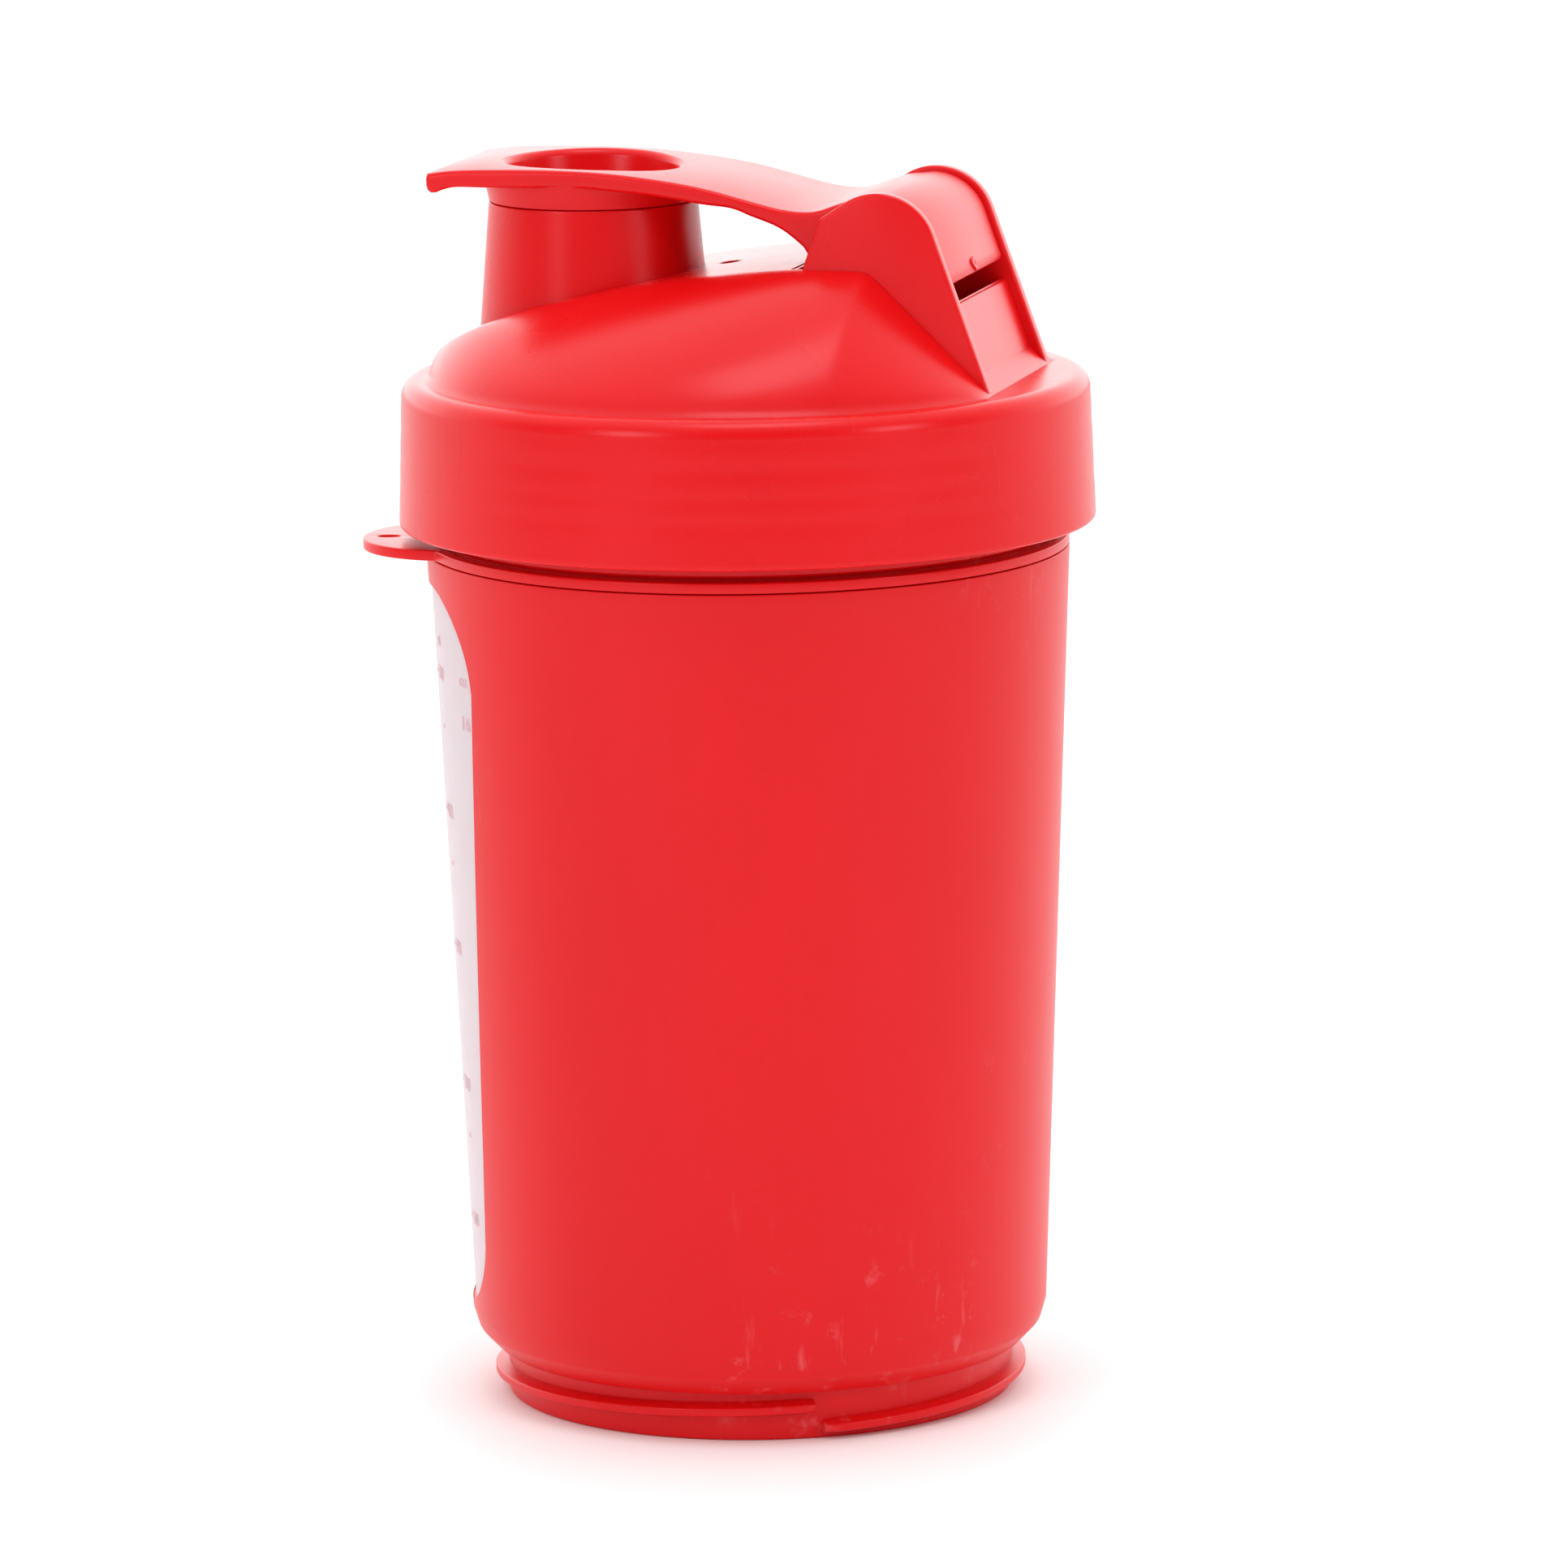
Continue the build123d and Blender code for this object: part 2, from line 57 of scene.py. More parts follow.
# ---- Sizes read from the frame -------------------------------------------------------------------------
def box_mm(node):
    """A CAD node's lowest and highest corners in millimetres."""
    low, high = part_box(node)
    return [v / MM for v in low], [v / MM for v in high]


cup_high = box_mm("cup_shell")[1]
lid_low, lid_high = box_mm("lid_shell")
ring_low, ring_high = box_mm("carry_ring")
seal_low, seal_high = box_mm("lid_seal")
hinge = next(j for j in frame["joints"] if j["name"] == "flip_hinge")["pos_m"]
HX = hinge[0] / MM
HZ = hinge[2] / MM

# The cup: its wall between the foot's shoulder and the groove, the foot, the groove and the neck.
CUP_R0 = 40.44  # the tapered wall carried down to the origin
CUP_TAPER = 0.0404
CUP_WALL = 1.0
WALL_LOW, WALL_HIGH = 12.2, 119.4
FOOT_R, FOOT_BORE, FOOT_TOP = 36.0, 33.8, 7.0
GROOVE_LOW, GROOVE_HIGH, GROOVE_R = 121.0, 122.9, 43.4
NECK_R, NECK_BORE, NECK_TOP = 44.2, 42.9, cup_high[2]
NECK_THREAD_Z, NECK_LEAD = 128.2, 12.0

# The window: half widths across the wall and corner radii at its low and high ends.
WINDOW_AZ = radians(196.0)
WINDOW_LOW, WINDOW_HIGH = 13.4, 117.0
WINDOW_HALF_LOW, WINDOW_HALF_HIGH = 13.4, 22.6
WINDOW_CORNER_LOW, WINDOW_CORNER_HIGH = 12.0, 13.5
WINDOW_MID = (WINDOW_LOW + WINDOW_HIGH) / 2
WINDOW_WIDE = (WINDOW_HALF_LOW + WINDOW_HALF_HIGH) / 2
WINDOW_TALL = (WINDOW_HIGH - WINDOW_LOW) / 2
PAD_RECESS = 0.45

# The lid: skirt, plate, dome, spout, ears and the trough under the hinge.
SKIRT_BOTTOM = lid_low[2]
LEDGE = SKIRT_BOTTOM + 20.6
SKIRT_R0, SKIRT_R1 = lid_high[1], 48.4
SKIRT_BORE, SKIRT_ROUND = 46.7, 2.2
SINK_BANDS = ((0.30, 0.04, 0.055), (0.47, 0.036, 0.05), (0.66, 0.048, 0.06), (0.86, 0.028, 0.04))
PLATE_UNDER, PLATE_HOLE = 143.4, 36.0
DOME_R, DOME_WALL = 44.6, 2.0
DOME_END = 40.4
DOME_FILLET = 0.9
DECK_HALF = 17.85
DECK_CREST, DECK_RISE = 16.0, 17.1
DIMPLE_X, DIMPLE_BALL, DIMPLE_DEPTH = -2.3, 3.0, 0.5
SLANT_FOOT, SLANT_SLOPE = 39.9, 0.982
RIM_Z = 169.6
SPOUT_X, SPOUT_R, SPOUT_BORE = -21.8, 14.75, 13.15
SPOUT_TAPER = 0.075
EAR_R, EAR_T = 8.4, 2.2
EAR_FOOT = (13.1, 162.3)
EAR_CORNER = (15.8, 169.6)
EAR_BACK = (39.8, 145.2)
SOCKET_R = 2.5
TROUGH_R, TROUGH_HALF = 12.0, 16.7
PANEL_RECESS, PANEL_TOP, PANEL_T = 1.4, 157.4, 1.9

# The flip cap.
FLIP_HALF = 15.3
KNUCKLE_R, CORE_R, CORE_HALF, PIN_R = 7.75, 5.3, 12.7, 2.45
WELL_RIM = 1.1

# The carry ring and its tab.
RING_R, RING_BORE = 45.3, 43.7
TAB_AZ, TAB_AT, TAB_R = radians(193.0), 40.2, 14.16
EYELET_AT, EYELET_LONG, EYELET_WIDE = 50.7, 1.6, 1.1

# The studio: the brightness of the surroundings, and the camera's place and turn.
SKY_FRONT, SKY_BACK, SKY_TOP = 0.22, 2.4, 1.2
FLOOR_R = 7000.0
LENS, SENSOR = 222.36, 36.0
CAMERA_FAR, CAMERA_UP = 1350.0, 332.148
CAMERA_AZ, CAMERA_YAW, CAMERA_PITCH, CAMERA_ROLL = (radians(v) for v in (15.4, 0.1924, 10.3108, -0.8634))


# ---- Mesh helpers --------------------------------------------------------------------------------------
def make_object(name, verts, faces, smooth_angle=35.0):
    """A mesh object from points in millimetres; faces are smooth apart from edges sharper than the angle."""
    mesh = bpy.data.meshes.new(name)
    mesh.from_pydata([(x * MM, y * MM, z * MM) for x, y, z in verts], [], faces)
    mesh.validate()
    obj = bpy.data.objects.new(name, mesh)
    bpy.context.scene.collection.objects.link(obj)
    tidy_mesh(obj, smooth_angle)
    return obj


def tidy_mesh(obj, smooth_angle=35.0, weld=0.002):
    """Welds doubled points, makes the normals point outwards and marks the sharp edges."""
    bm = bmesh.new()
    bm.from_mesh(obj.data)
    bmesh.ops.remove_doubles(bm, verts=bm.verts, dist=weld * MM)
    bmesh.ops.recalc_face_normals(bm, faces=bm.faces)
    for face in bm.faces:
        face.smooth = True
    limit = radians(smooth_angle)
    for edge in bm.edges:
        edge.smooth = len(edge.link_faces) == 2 and edge.calc_face_angle(0.0) < limit
    bm.to_mesh(obj.data)
    bm.free()


def rounded(points, radii, steps=5):
    """A polyline with its inner corners replaced by arcs of the given radii (0 keeps a corner)."""
    out = [points[0]]
    for before, corner, after, radius in zip(points, points[1:], points[2:], radii):
        if radius <= 0:
            out.append(corner)
            continue
        a = Vector(before) - Vector(corner)
        b = Vector(after) - Vector(corner)
        a_len, b_len = a.length, b.length
        a.normalize()
        b.normalize()
        half = acos(max(-1, min(1, a.dot(b)))) / 2
        reach = min(radius / max(1e-6, abs(sin(half) / cos(half))), 0.49 * a_len, 0.49 * b_len)
        start = Vector(corner) + a * reach
        end = Vector(corner) + b * reach
        for k in range(steps + 1):
            t = k / steps
            first = start.lerp(Vector(corner), t)
            second = Vector(corner).lerp(end, t)
            out.append(tuple(first.lerp(second, t)))
    out.append(points[-1])
    return out


def lathe(name, profile, segments=256, centre=(0.0, 0.0), smooth_angle=35.0):
    """Turns a closed profile of (radius, height) points about a vertical axis into a closed solid."""
    verts, faces = [], []
    count = len(profile)
    for k in range(segments):
        a = 2 * pi * k / segments
        for r, z in profile:
            verts.append((centre[0] + r * cos(a), centre[1] + r * sin(a), z))
    for k in range(segments):
        for i in range(count):
            j = (i + 1) % count
            n = (k + 1) % segments
            faces.append((k * count + i, n * count + i, n * count + j, k * count + j))
    return make_object(name, verts, faces, smooth_angle)


def rings_object(name, rings, smooth_angle=35.0):
    """Joins closed rings with the same number of points into a closed solid with n-gon ends."""
    verts = [p for ring in rings for p in ring]
    n = len(rings[0])
    faces = []
    for r in range(len(rings) - 1):
        for i in range(n):
            j = (i + 1) % n
            faces.append((r * n + i, r * n + j, (r + 1) * n + j, (r + 1) * n + i))
    faces.append(tuple(range(n)))
    faces.append(tuple(range((len(rings) - 1) * n, len(rings) * n)))
    return make_object(name, verts, faces, smooth_angle)


def side_slab(name, outline, y0, y1, edge, steps, smooth_angle=30.0):
    """A slab whose side view is the outline of (x, z) points, with rounded rims of radius edge."""
    rings = []
    n = len(outline)
    normals = []
    area = sum(
        outline[i][0] * outline[(i + 1) % n][1] - outline[(i + 1) % n][0] * outline[i][1] for i in range(n)
    )
    turn = 1.0 if area > 0 else -1.0
    for i in range(n):
        before = Vector(outline[i - 1])
        here = Vector(outline[i])
        after = Vector(outline[(i + 1) % n])
        d0 = (here - before).normalized()
        d1 = (after - here).normalized()
        n0 = Vector((d0.y, -d0.x)) * turn
        n1 = Vector((d1.y, -d1.x)) * turn
        s = n0 + n1
        normals.append(s / max(0.6, s.length_squared / 2) if s.length > 1e-6 else n0)
    for end, sign in ((y0, 1), (y1, -1)):
        part = []
        for k in range(steps + 1):
            a = pi / 2 * k / steps
            inset = edge * (1 - sin(a))
            y = end + sign * edge * (1 - cos(a))
            part.append([(p[0] - m.x * inset, y, p[1] - m.y * inset) for p, m in zip(outline, normals)])
        rings += part if sign > 0 else part[::-1]
    return rings_object(name, rings, smooth_angle)


def boolean(obj, cutter, operation="DIFFERENCE"):
    """Applies an exact boolean and removes the cutter."""
    mod = obj.modifiers.new("cut", "BOOLEAN")
    mod.operation = operation
    mod.solver = "EXACT"
    mod.object = cutter
    depsgraph = bpy.context.evaluated_depsgraph_get()
    mesh = bpy.data.meshes.new_from_object(obj.evaluated_get(depsgraph))
    obj.modifiers.clear()
    old = obj.data
    obj.data = mesh
    bpy.data.meshes.remove(old)
    bpy.data.objects.remove(cutter)


def join(name, objects, smooth_angle=35.0):
    """Joins objects into one named object."""
    bm = bmesh.new()
    for o in objects:
        bm.from_mesh(o.data)
    mesh = bpy.data.meshes.new(name)
    bm.to_mesh(mesh)
    bm.free()
    for o in objects:
        bpy.data.objects.remove(o)
    obj = bpy.data.objects.new(name, mesh)
    bpy.context.scene.collection.objects.link(obj)
    tidy_mesh(obj, smooth_angle, weld=0.0005)
    return obj


def spline_points(points, per_span):
    """A smooth Catmull-Rom line through the points."""
    pts = [Vector(p) for p in points]
    pts = [pts[0] * 2 - pts[1]] + pts + [pts[-1] * 2 - pts[-2]]
    out = []
    for i in range(1, len(pts) - 2):
        p0, p1, p2, p3 = pts[i - 1 : i + 3]
        for k in range(per_span):
            t = k / per_span
            out.append(
                tuple(
                    0.5
                    * (
                        2 * p1
                        + (p2 - p0) * t
                        + (2 * p0 - 5 * p1 + 4 * p2 - p3) * t * t
                        + (3 * p1 - p0 - 3 * p2 + p3) * t**3
                    )
                )
            )
    out.append(tuple(pts[-2]))
    return out


def grid_faces(base, columns, rows, closed):
    """Faces of a grid of points kept column by column, joined round at the end if closed."""
    faces = []
    for k in range(columns if closed else columns - 1):
        here = base + k * rows
        there = base + (k + 1) % columns * rows
        for i in range(rows - 1):
            faces.append((here + i, there + i, there + i + 1, here + i + 1))
    return faces


def interpolate(points, x):
    """Height of a polyline of (x, z) points with growing x."""
    if x <= points[0][0]:
        return points[0][1]
    for (x0, z0), (x1, z1) in zip(points, points[1:]):
        if x <= x1:
            return z0 + (z1 - z0) * (x - x0) / (x1 - x0)
    return points[-1][1]


# ---- Outer cup -----------------------------------------------------------------------------------------
def cup_radius(z):
    """Outer radius of the tapered cup."""
    return CUP_R0 + CUP_TAPER * z


def window_edge(angle):
    """A point (across, height) on the window's rounded outline, met by a ray from its middle."""
    direction = Vector((cos(angle) * WINDOW_WIDE, sin(angle) * WINDOW_TALL))
    low, high = 0.0, 2.0
    for _ in range(30):
        t = (low + high) / 2
        p = direction * t
        if inside_window(p.x, p.y + WINDOW_MID):
            low = t
        else:
            high = t
    return direction.x * low, direction.y * low + WINDOW_MID


def inside_window(u, z):
    """Whether a point is inside the window's outline: tapered sides and rounded corners."""
    if not WINDOW_LOW < z < WINDOW_HIGH:
        return False
    slope = (WINDOW_HALF_HIGH - WINDOW_HALF_LOW) / (WINDOW_HIGH - WINDOW_LOW)
    u = abs(u)
    if u > WINDOW_HALF_LOW + slope * (z - WINDOW_LOW):
        return False
    lean = sqrt(1 + slope * slope)
    r_high, r_low = WINDOW_CORNER_HIGH, WINDOW_CORNER_LOW
    u_high, z_high = WINDOW_HALF_HIGH - slope * r_high - r_high * lean, WINDOW_HIGH - r_high
    u_low, z_low = WINDOW_HALF_LOW + slope * r_low - r_low * lean, WINDOW_LOW + r_low
    if z > z_high and u > u_high and hypot(u - u_high, z - z_high) > r_high:
        return False
    return not (z < z_low and u > u_low and hypot(u - u_low, z - z_low) > r_low)


def away_from_middle(u, z):
    """The window outline's outward direction at one of its points, taken as that of an ellipse."""
    return Vector((u / WINDOW_WIDE**2, (z - WINDOW_MID) / WINDOW_TALL**2)).normalized()


def cup_point(u, z, inset):
    """A point on the cup's wall, u across the window's flat outline, inset below the outer surface."""
    r = cup_radius(z)
    a = WINDOW_AZ + atan2(u, sqrt(max(r * r - u * u, 1.0)))
    r -= inset
    return (r * cos(a), r * sin(a), z)


def build_cup():
    """The outer cup: a wall with the window's opening, the neck, the shoulder, the foot and the threads."""
    half_patch = radians(44)
    n_side, n_top, n_rest = 84, 44, 190
    tall = WALL_HIGH - WALL_LOW
    border = [(-half_patch + 2 * half_patch * k / n_top, WALL_LOW) for k in range(n_top)]
    border += [(half_patch, WALL_LOW + tall * k / n_side) for k in range(n_side)]
    border += [(half_patch - 2 * half_patch * k / n_top, WALL_HIGH) for k in range(n_top)]
    border += [(-half_patch, WALL_HIGH - tall * k / n_side) for k in range(n_side)]
    verts, faces = [], []
    n = len(border)

    def add_ring(ring):
        base = len(verts)
        verts.extend(ring)
        return base

    def bridge(a, b):
        for i in range(n):
            j = (i + 1) % n
            faces.append((a + i, a + j, b + j, b + i))

    edge_points = []
    for a, z in border:
        u = cup_radius(z) * sin(a)
        angle = atan2((z - WINDOW_MID) / WINDOW_TALL, u / WINDOW_WIDE)
        edge_points.append(window_edge(angle))

    def surface_ring(t, inset):
        ring = []
        for (a, z), (eu, ez) in zip(border, edge_points):
            ea = atan2(eu, sqrt(cup_radius(ez) ** 2 - eu * eu))
            aa = ea + (a - ea) * t
            zz = ez + (z - ez) * t
            r = cup_radius(zz) - inset
            ring.append((r * cos(WINDOW_AZ + aa), r * sin(WINDOW_AZ + aa), zz))
        return ring

    def lip_ring(shrink, inset):
        ring = []
        for eu, ez in edge_points:
            away = away_from_middle(eu, ez)
            ring.append(cup_point(eu - away.x * shrink, ez - away.y * shrink, inset))
        return ring

    # From the patch's border in to the window, over its rounded lip, and back out on the inside.
    rings = [add_ring(surface_ring(t, 0.0)) for t in (1.0, 0.8, 0.6, 0.42, 0.26, 0.14, 0.05, 0.012)]
    lip = ((-0.3, 0.0), (-0.16, 0.04), (-0.06, 0.14), (0.0, 0.3), (0.02, 0.95))
    rings += [add_ring(lip_ring(shrink, inset)) for shrink, inset in lip]
    rings += [add_ring(surface_ring(t, CUP_WALL)) for t in (0.012, 0.14, 0.42, 1.0)]
    for a, b in zip(rings, rings[1:]):
        bridge(a, b)
    # The rest of the wall, outside and inside, between the two sides of the patch.
    rest = [half_patch + (2 * pi - 2 * half_patch) * k / n_rest for k in range(n_rest + 1)]
    for inset in (0.0, CUP_WALL):
        base = len(verts)
        for a in rest:
            for i in range(n_side + 1):
                z = WALL_LOW + tall * i / n_side
                r = cup_radius(z) - inset
                verts.append((r * cos(WINDOW_AZ + a), r * sin(WINDOW_AZ + a), z))
        faces += grid_faces(base, n_rest + 1, n_side + 1, False)
    # The neck above and the shoulder and foot below, turned on the same angles.
    angles = [a for a, z in border[: n_top + 1]]
    angles += rest[1:-1]
    above = rounded(
        [
            (cup_radius(WALL_HIGH), WALL_HIGH),
            (cup_radius(GROOVE_LOW), GROOVE_LOW),
            (GROOVE_R, GROOVE_LOW),
            (GROOVE_R, GROOVE_HIGH),
            (NECK_R, GROOVE_HIGH + 0.6),
            (NECK_R, NECK_TOP),
            (NECK_BORE, NECK_TOP),
            (NECK_BORE, GROOVE_LOW - 0.4),
            (cup_radius(WALL_HIGH) - CUP_WALL, WALL_HIGH),
        ],
        [0.15, 0.2, 0.2, 0.3, 0.4, 0.3, 0],
        4,
    )
    below = rounded(
        [
            (cup_radius(WALL_LOW), WALL_LOW),
            (40.15, 9.6),
            (37.65, FOOT_TOP),
            (FOOT_R, FOOT_TOP),
            (FOOT_R, 0.0),
            (FOOT_BORE, 0.0),
            (FOOT_BORE, 6.0),
            (1.0, 6.0),
            (1.0, 7.2),
            (34.8, 7.2),
            (38.2, 9.6),
            (cup_radius(WALL_LOW) - CUP_WALL, WALL_LOW),
        ],
        [1.6, 0.35, 0.35, 0.4, 0.4, 0.4, 0, 0, 0.5, 1.0],
        5,
    )
    for line in (above, below):
        base = len(verts)
        for a in angles:
            for r, z in line:
                verts.append((r * cos(WINDOW_AZ + a), r * sin(WINDOW_AZ + a), z))
        faces += grid_faces(base, len(angles), len(line), True)
    wall = make_object("cup_wall", verts, faces, 40.0)
    bm = bmesh.new()
    bm.from_mesh(wall.data)
    open_edges = [e for e in bm.edges if len(e.link_faces) == 1]
    if open_edges:
        bmesh.ops.holes_fill(bm, edges=open_edges, sides=0)
    bm.to_mesh(wall.data)
    bm.free()
    ridges = []
    for start in (299.0, 119.0):
        ridges.append(thread("foot_ridge", FOOT_R, 1.9, 6.3, 178.0, 1.65, 2.2, 1.05, start))
    for start in (0.0, 120.0, 240.0):
        ridges.append(thread("neck_ridge", NECK_R, 1.8, NECK_LEAD, 140.0, NECK_THREAD_Z, 2.2, 1.1, start))
    return join("cup_outer", [wall, *ridges], 40.0)


def thread(name, radius, depth, lead, turn, low, base, crest, start):
    """One partial turn of right-hand thread with a rounded crest; a negative depth points inwards."""
    steps = int(turn / 1.5)
    root = -0.4 if depth > 0 else 0.4
    section = [(root, -base / 2), (0, -base / 2), (depth, -crest / 2)]
    section += [(u, -v) for u, v in section[::-1]]
    section = rounded(section, [0.15, 0.3, 0.3, 0.15], 4)
    rings = []
    for k in range(steps + 1):
        a = radians(start + turn * k / steps)
        z = low + lead * turn / 360 * k / steps
        grow = min(1.0, 0.82 + 0.18 * min(k, steps - k) / 2.0)
        line = [(radius + u * grow, z + v * grow) for u, v in section]
        rings.append([(r * cos(a), r * sin(a), height) for r, height in line])
    return rings_object(name, rings, 40.0)


# ---- Dome, ears and lid --------------------------------------------------------------------------------
def deck_line(x, inset):
    """Height of the deck along its middle."""
    front = DECK_CREST + DOME_R - inset
    along = min(max((DECK_CREST - x) / front, 0.0), 1.0)
    deck = LEDGE + (DECK_RISE - inset) * (1 - along**1.6) ** (1 / 1.75)
    slant = LEDGE + SLANT_SLOPE * (SLANT_FOOT - 1.4 * inset - x)
    blend = 0.7
    return (deck + slant - sqrt((deck - slant) ** 2 + blend**2)) / 2


def dome_section(x, inset, sink):
    """Points across the dome at x, from one foot over the deck to the other, with a soft deck edge."""
    base = DOME_R - inset
    half_chord = sqrt(max(base**2 - x**2, 0.01))
    nose = DECK_HALF - DOME_R
    half_deck = DECK_HALF - inset * 0.6
    if x < nose:
        half_deck *= sqrt(max(1 - ((nose - x) / (DECK_HALF - inset)) ** 2, 0.0004))
    half_deck = min(half_deck, 0.97 * half_chord)
    top = max(deck_line(x, inset), LEDGE - 0.6)
    side = []
    steps = 22
    soft = 2.2
    for k in range(steps + 1):
        share = sin(k / steps * pi / 2) ** 1.25
        drop = (1 - share**1.25) ** (1 / 1.5)
        side.append((half_deck + share * (half_chord - half_deck), LEDGE + drop * (top - LEDGE)))
    flat = []
    for k in range(9):
        t = k / 9
        y = half_deck * t
        near = max(0.0, (y - (half_deck - soft)) / soft)
        flat.append((y, top - 0.05 * near * near * (top > LEDGE + 3)))
    half = flat + side
    points = [(x, half_chord, LEDGE - sink)] + [(x, y, z) for y, z in reversed(half)]
    points += [(x, -y, z) for y, z in half[1:]] + [(x, -half_chord, LEDGE - sink)]
    return points if inset else [flared(p) for p in points]


def flared(point):
    """Moves a point near the dome's foot outwards for the small fillet there, which fades out at the back."""
    x, y, z = point
    azimuth = abs(atan2(y, x))
    amount = min(max((azimuth - radians(24)) / radians(12), 0.0), 1.0)
    low = min(max(1 - (z - LEDGE) / DOME_FILLET, 0.0), 1.0)
    grow = 1 + 0.75 * DOME_FILLET * amount * low**2 / max(hypot(x, y), 1.0)
    return (x * grow, y * grow, z)


def dome_solid(name, inset, sink):
    """The dome as a closed solid."""
    base = DOME_R - inset
    stations = []
    for k in range(40):
        stations.append(-base * cos(pi / 2 * (k + 0.35) / 40))
    x = stations[-1]
    while x < DOME_END - 1.4 * inset:
        x += 0.7
        stations.append(x)
    rings = [dome_section(x, inset, sink) for x in stations]
    return rings_object(name, rings, 32.0)


BACK_DX, BACK_DZ = EAR_BACK[0] - HX, EAR_BACK[1] - HZ
BACK_ANGLE = atan2(BACK_DZ, BACK_DX) + acos(EAR_R / hypot(BACK_DX, BACK_DZ))
FRONT_DX, FRONT_DZ = EAR_CORNER[0] - HX, EAR_CORNER[1] - HZ
FRONT_ANGLE = atan2(FRONT_DZ, FRONT_DX) - acos(EAR_R / hypot(FRONT_DX, FRONT_DZ))
NX, NZ = cos(BACK_ANGLE), sin(BACK_ANGLE)


def behind(out, down):
    """A side view point, out from the hinge square to the ears' back edge and down along it."""
    return (HX + out * NX + down * NZ, HZ + out * NZ - down * NX)


def ear_outline():
    """The ears' side view: a round head, a corner at the front and straight edges down to both feet."""
    points = []
    end = FRONT_ANGLE % (2 * pi)
    for k in range(41):
        a = BACK_ANGLE + (end - BACK_ANGLE) * k / 40
        points.append((HX + EAR_R * cos(a), HZ + EAR_R * sin(a)))
    points += rounded([points[-1], EAR_CORNER, EAR_FOOT], [0.9], 6)[1:]
    # Three points inside the dome, where the outline isn't seen.
    points += [(EAR_FOOT[0], 158.0), (20.0, 152.0), (28.0, LEDGE - 0.6)]
    down_end = (HZ + EAR_R * NZ - LEDGE + 0.6) / NX
    points += [behind(EAR_R, down_end * (1 - k / 12)) for k in range(12)]
    return points


def cylinder_y(name, x, z, radius, y0, y1, segments=160):
    """A plain cylinder along Y, for pins and cutters."""
    turns = [2 * pi * k / segments for k in range(segments)]
    rings = [[(x + radius * cos(t), y, z + radius * sin(t)) for t in turns] for y in (y0, y1)]
    return rings_object(name, rings)


def build_skirt():
    """The skirt with its slightly sunk bands, the rounded ledge, the plate and the lip under it."""
    z0, z1 = SKIRT_BOTTOM, LEDGE

    def skirt_r(z):
        t = (z - z0) / (z1 - z0)
        sink = sum(depth * exp(-(((t - centre) / width) ** 2)) for centre, depth, width in SINK_BANDS)
        return SKIRT_R0 + (SKIRT_R1 - SKIRT_R0) * t - sink

    heights = [z0 + (z1 - SKIRT_ROUND - z0) * k / 40 for k in range(1, 41)]
    outer = [(skirt_r(z), z) for z in heights]
    outer[0] = (SKIRT_R0 - 0.02, z0 + 0.5)
    corner = []
    for k in range(1, 11):
        a = pi / 2 * k / 10
        corner.append((SKIRT_R1 + SKIRT_ROUND * (cos(a) - 1), z1 + SKIRT_ROUND * (sin(a) - 1)))
    foot = [(SKIRT_BORE, z0 + 0.5), (46.85, z0 + 0.12), (47.2, z0)]
    foot += [(SKIRT_R0 - 0.6, z0), (SKIRT_R0 - 0.25, z0 + 0.08), (SKIRT_R0 - 0.07, z0 + 0.25)]
    inner = [(45.6, z1), (PLATE_HOLE + 0.2, z1), (PLATE_HOLE, z1 - 0.2), (PLATE_HOLE, PLATE_UNDER + 0.2)]
    inner += [(PLATE_HOLE + 0.2, PLATE_UNDER), (39.2, PLATE_UNDER)]
    inner += [(39.2, 138.2), (39.4, 138.0), (40.1, 138.0), (40.3, 138.2), (40.3, 143.2), (40.5, PLATE_UNDER)]
    inner += [(46.4, PLATE_UNDER), (SKIRT_BORE, 143.1)]
    return lathe("skirt", foot + outer + corner + inner, 320, smooth_angle=42.0)


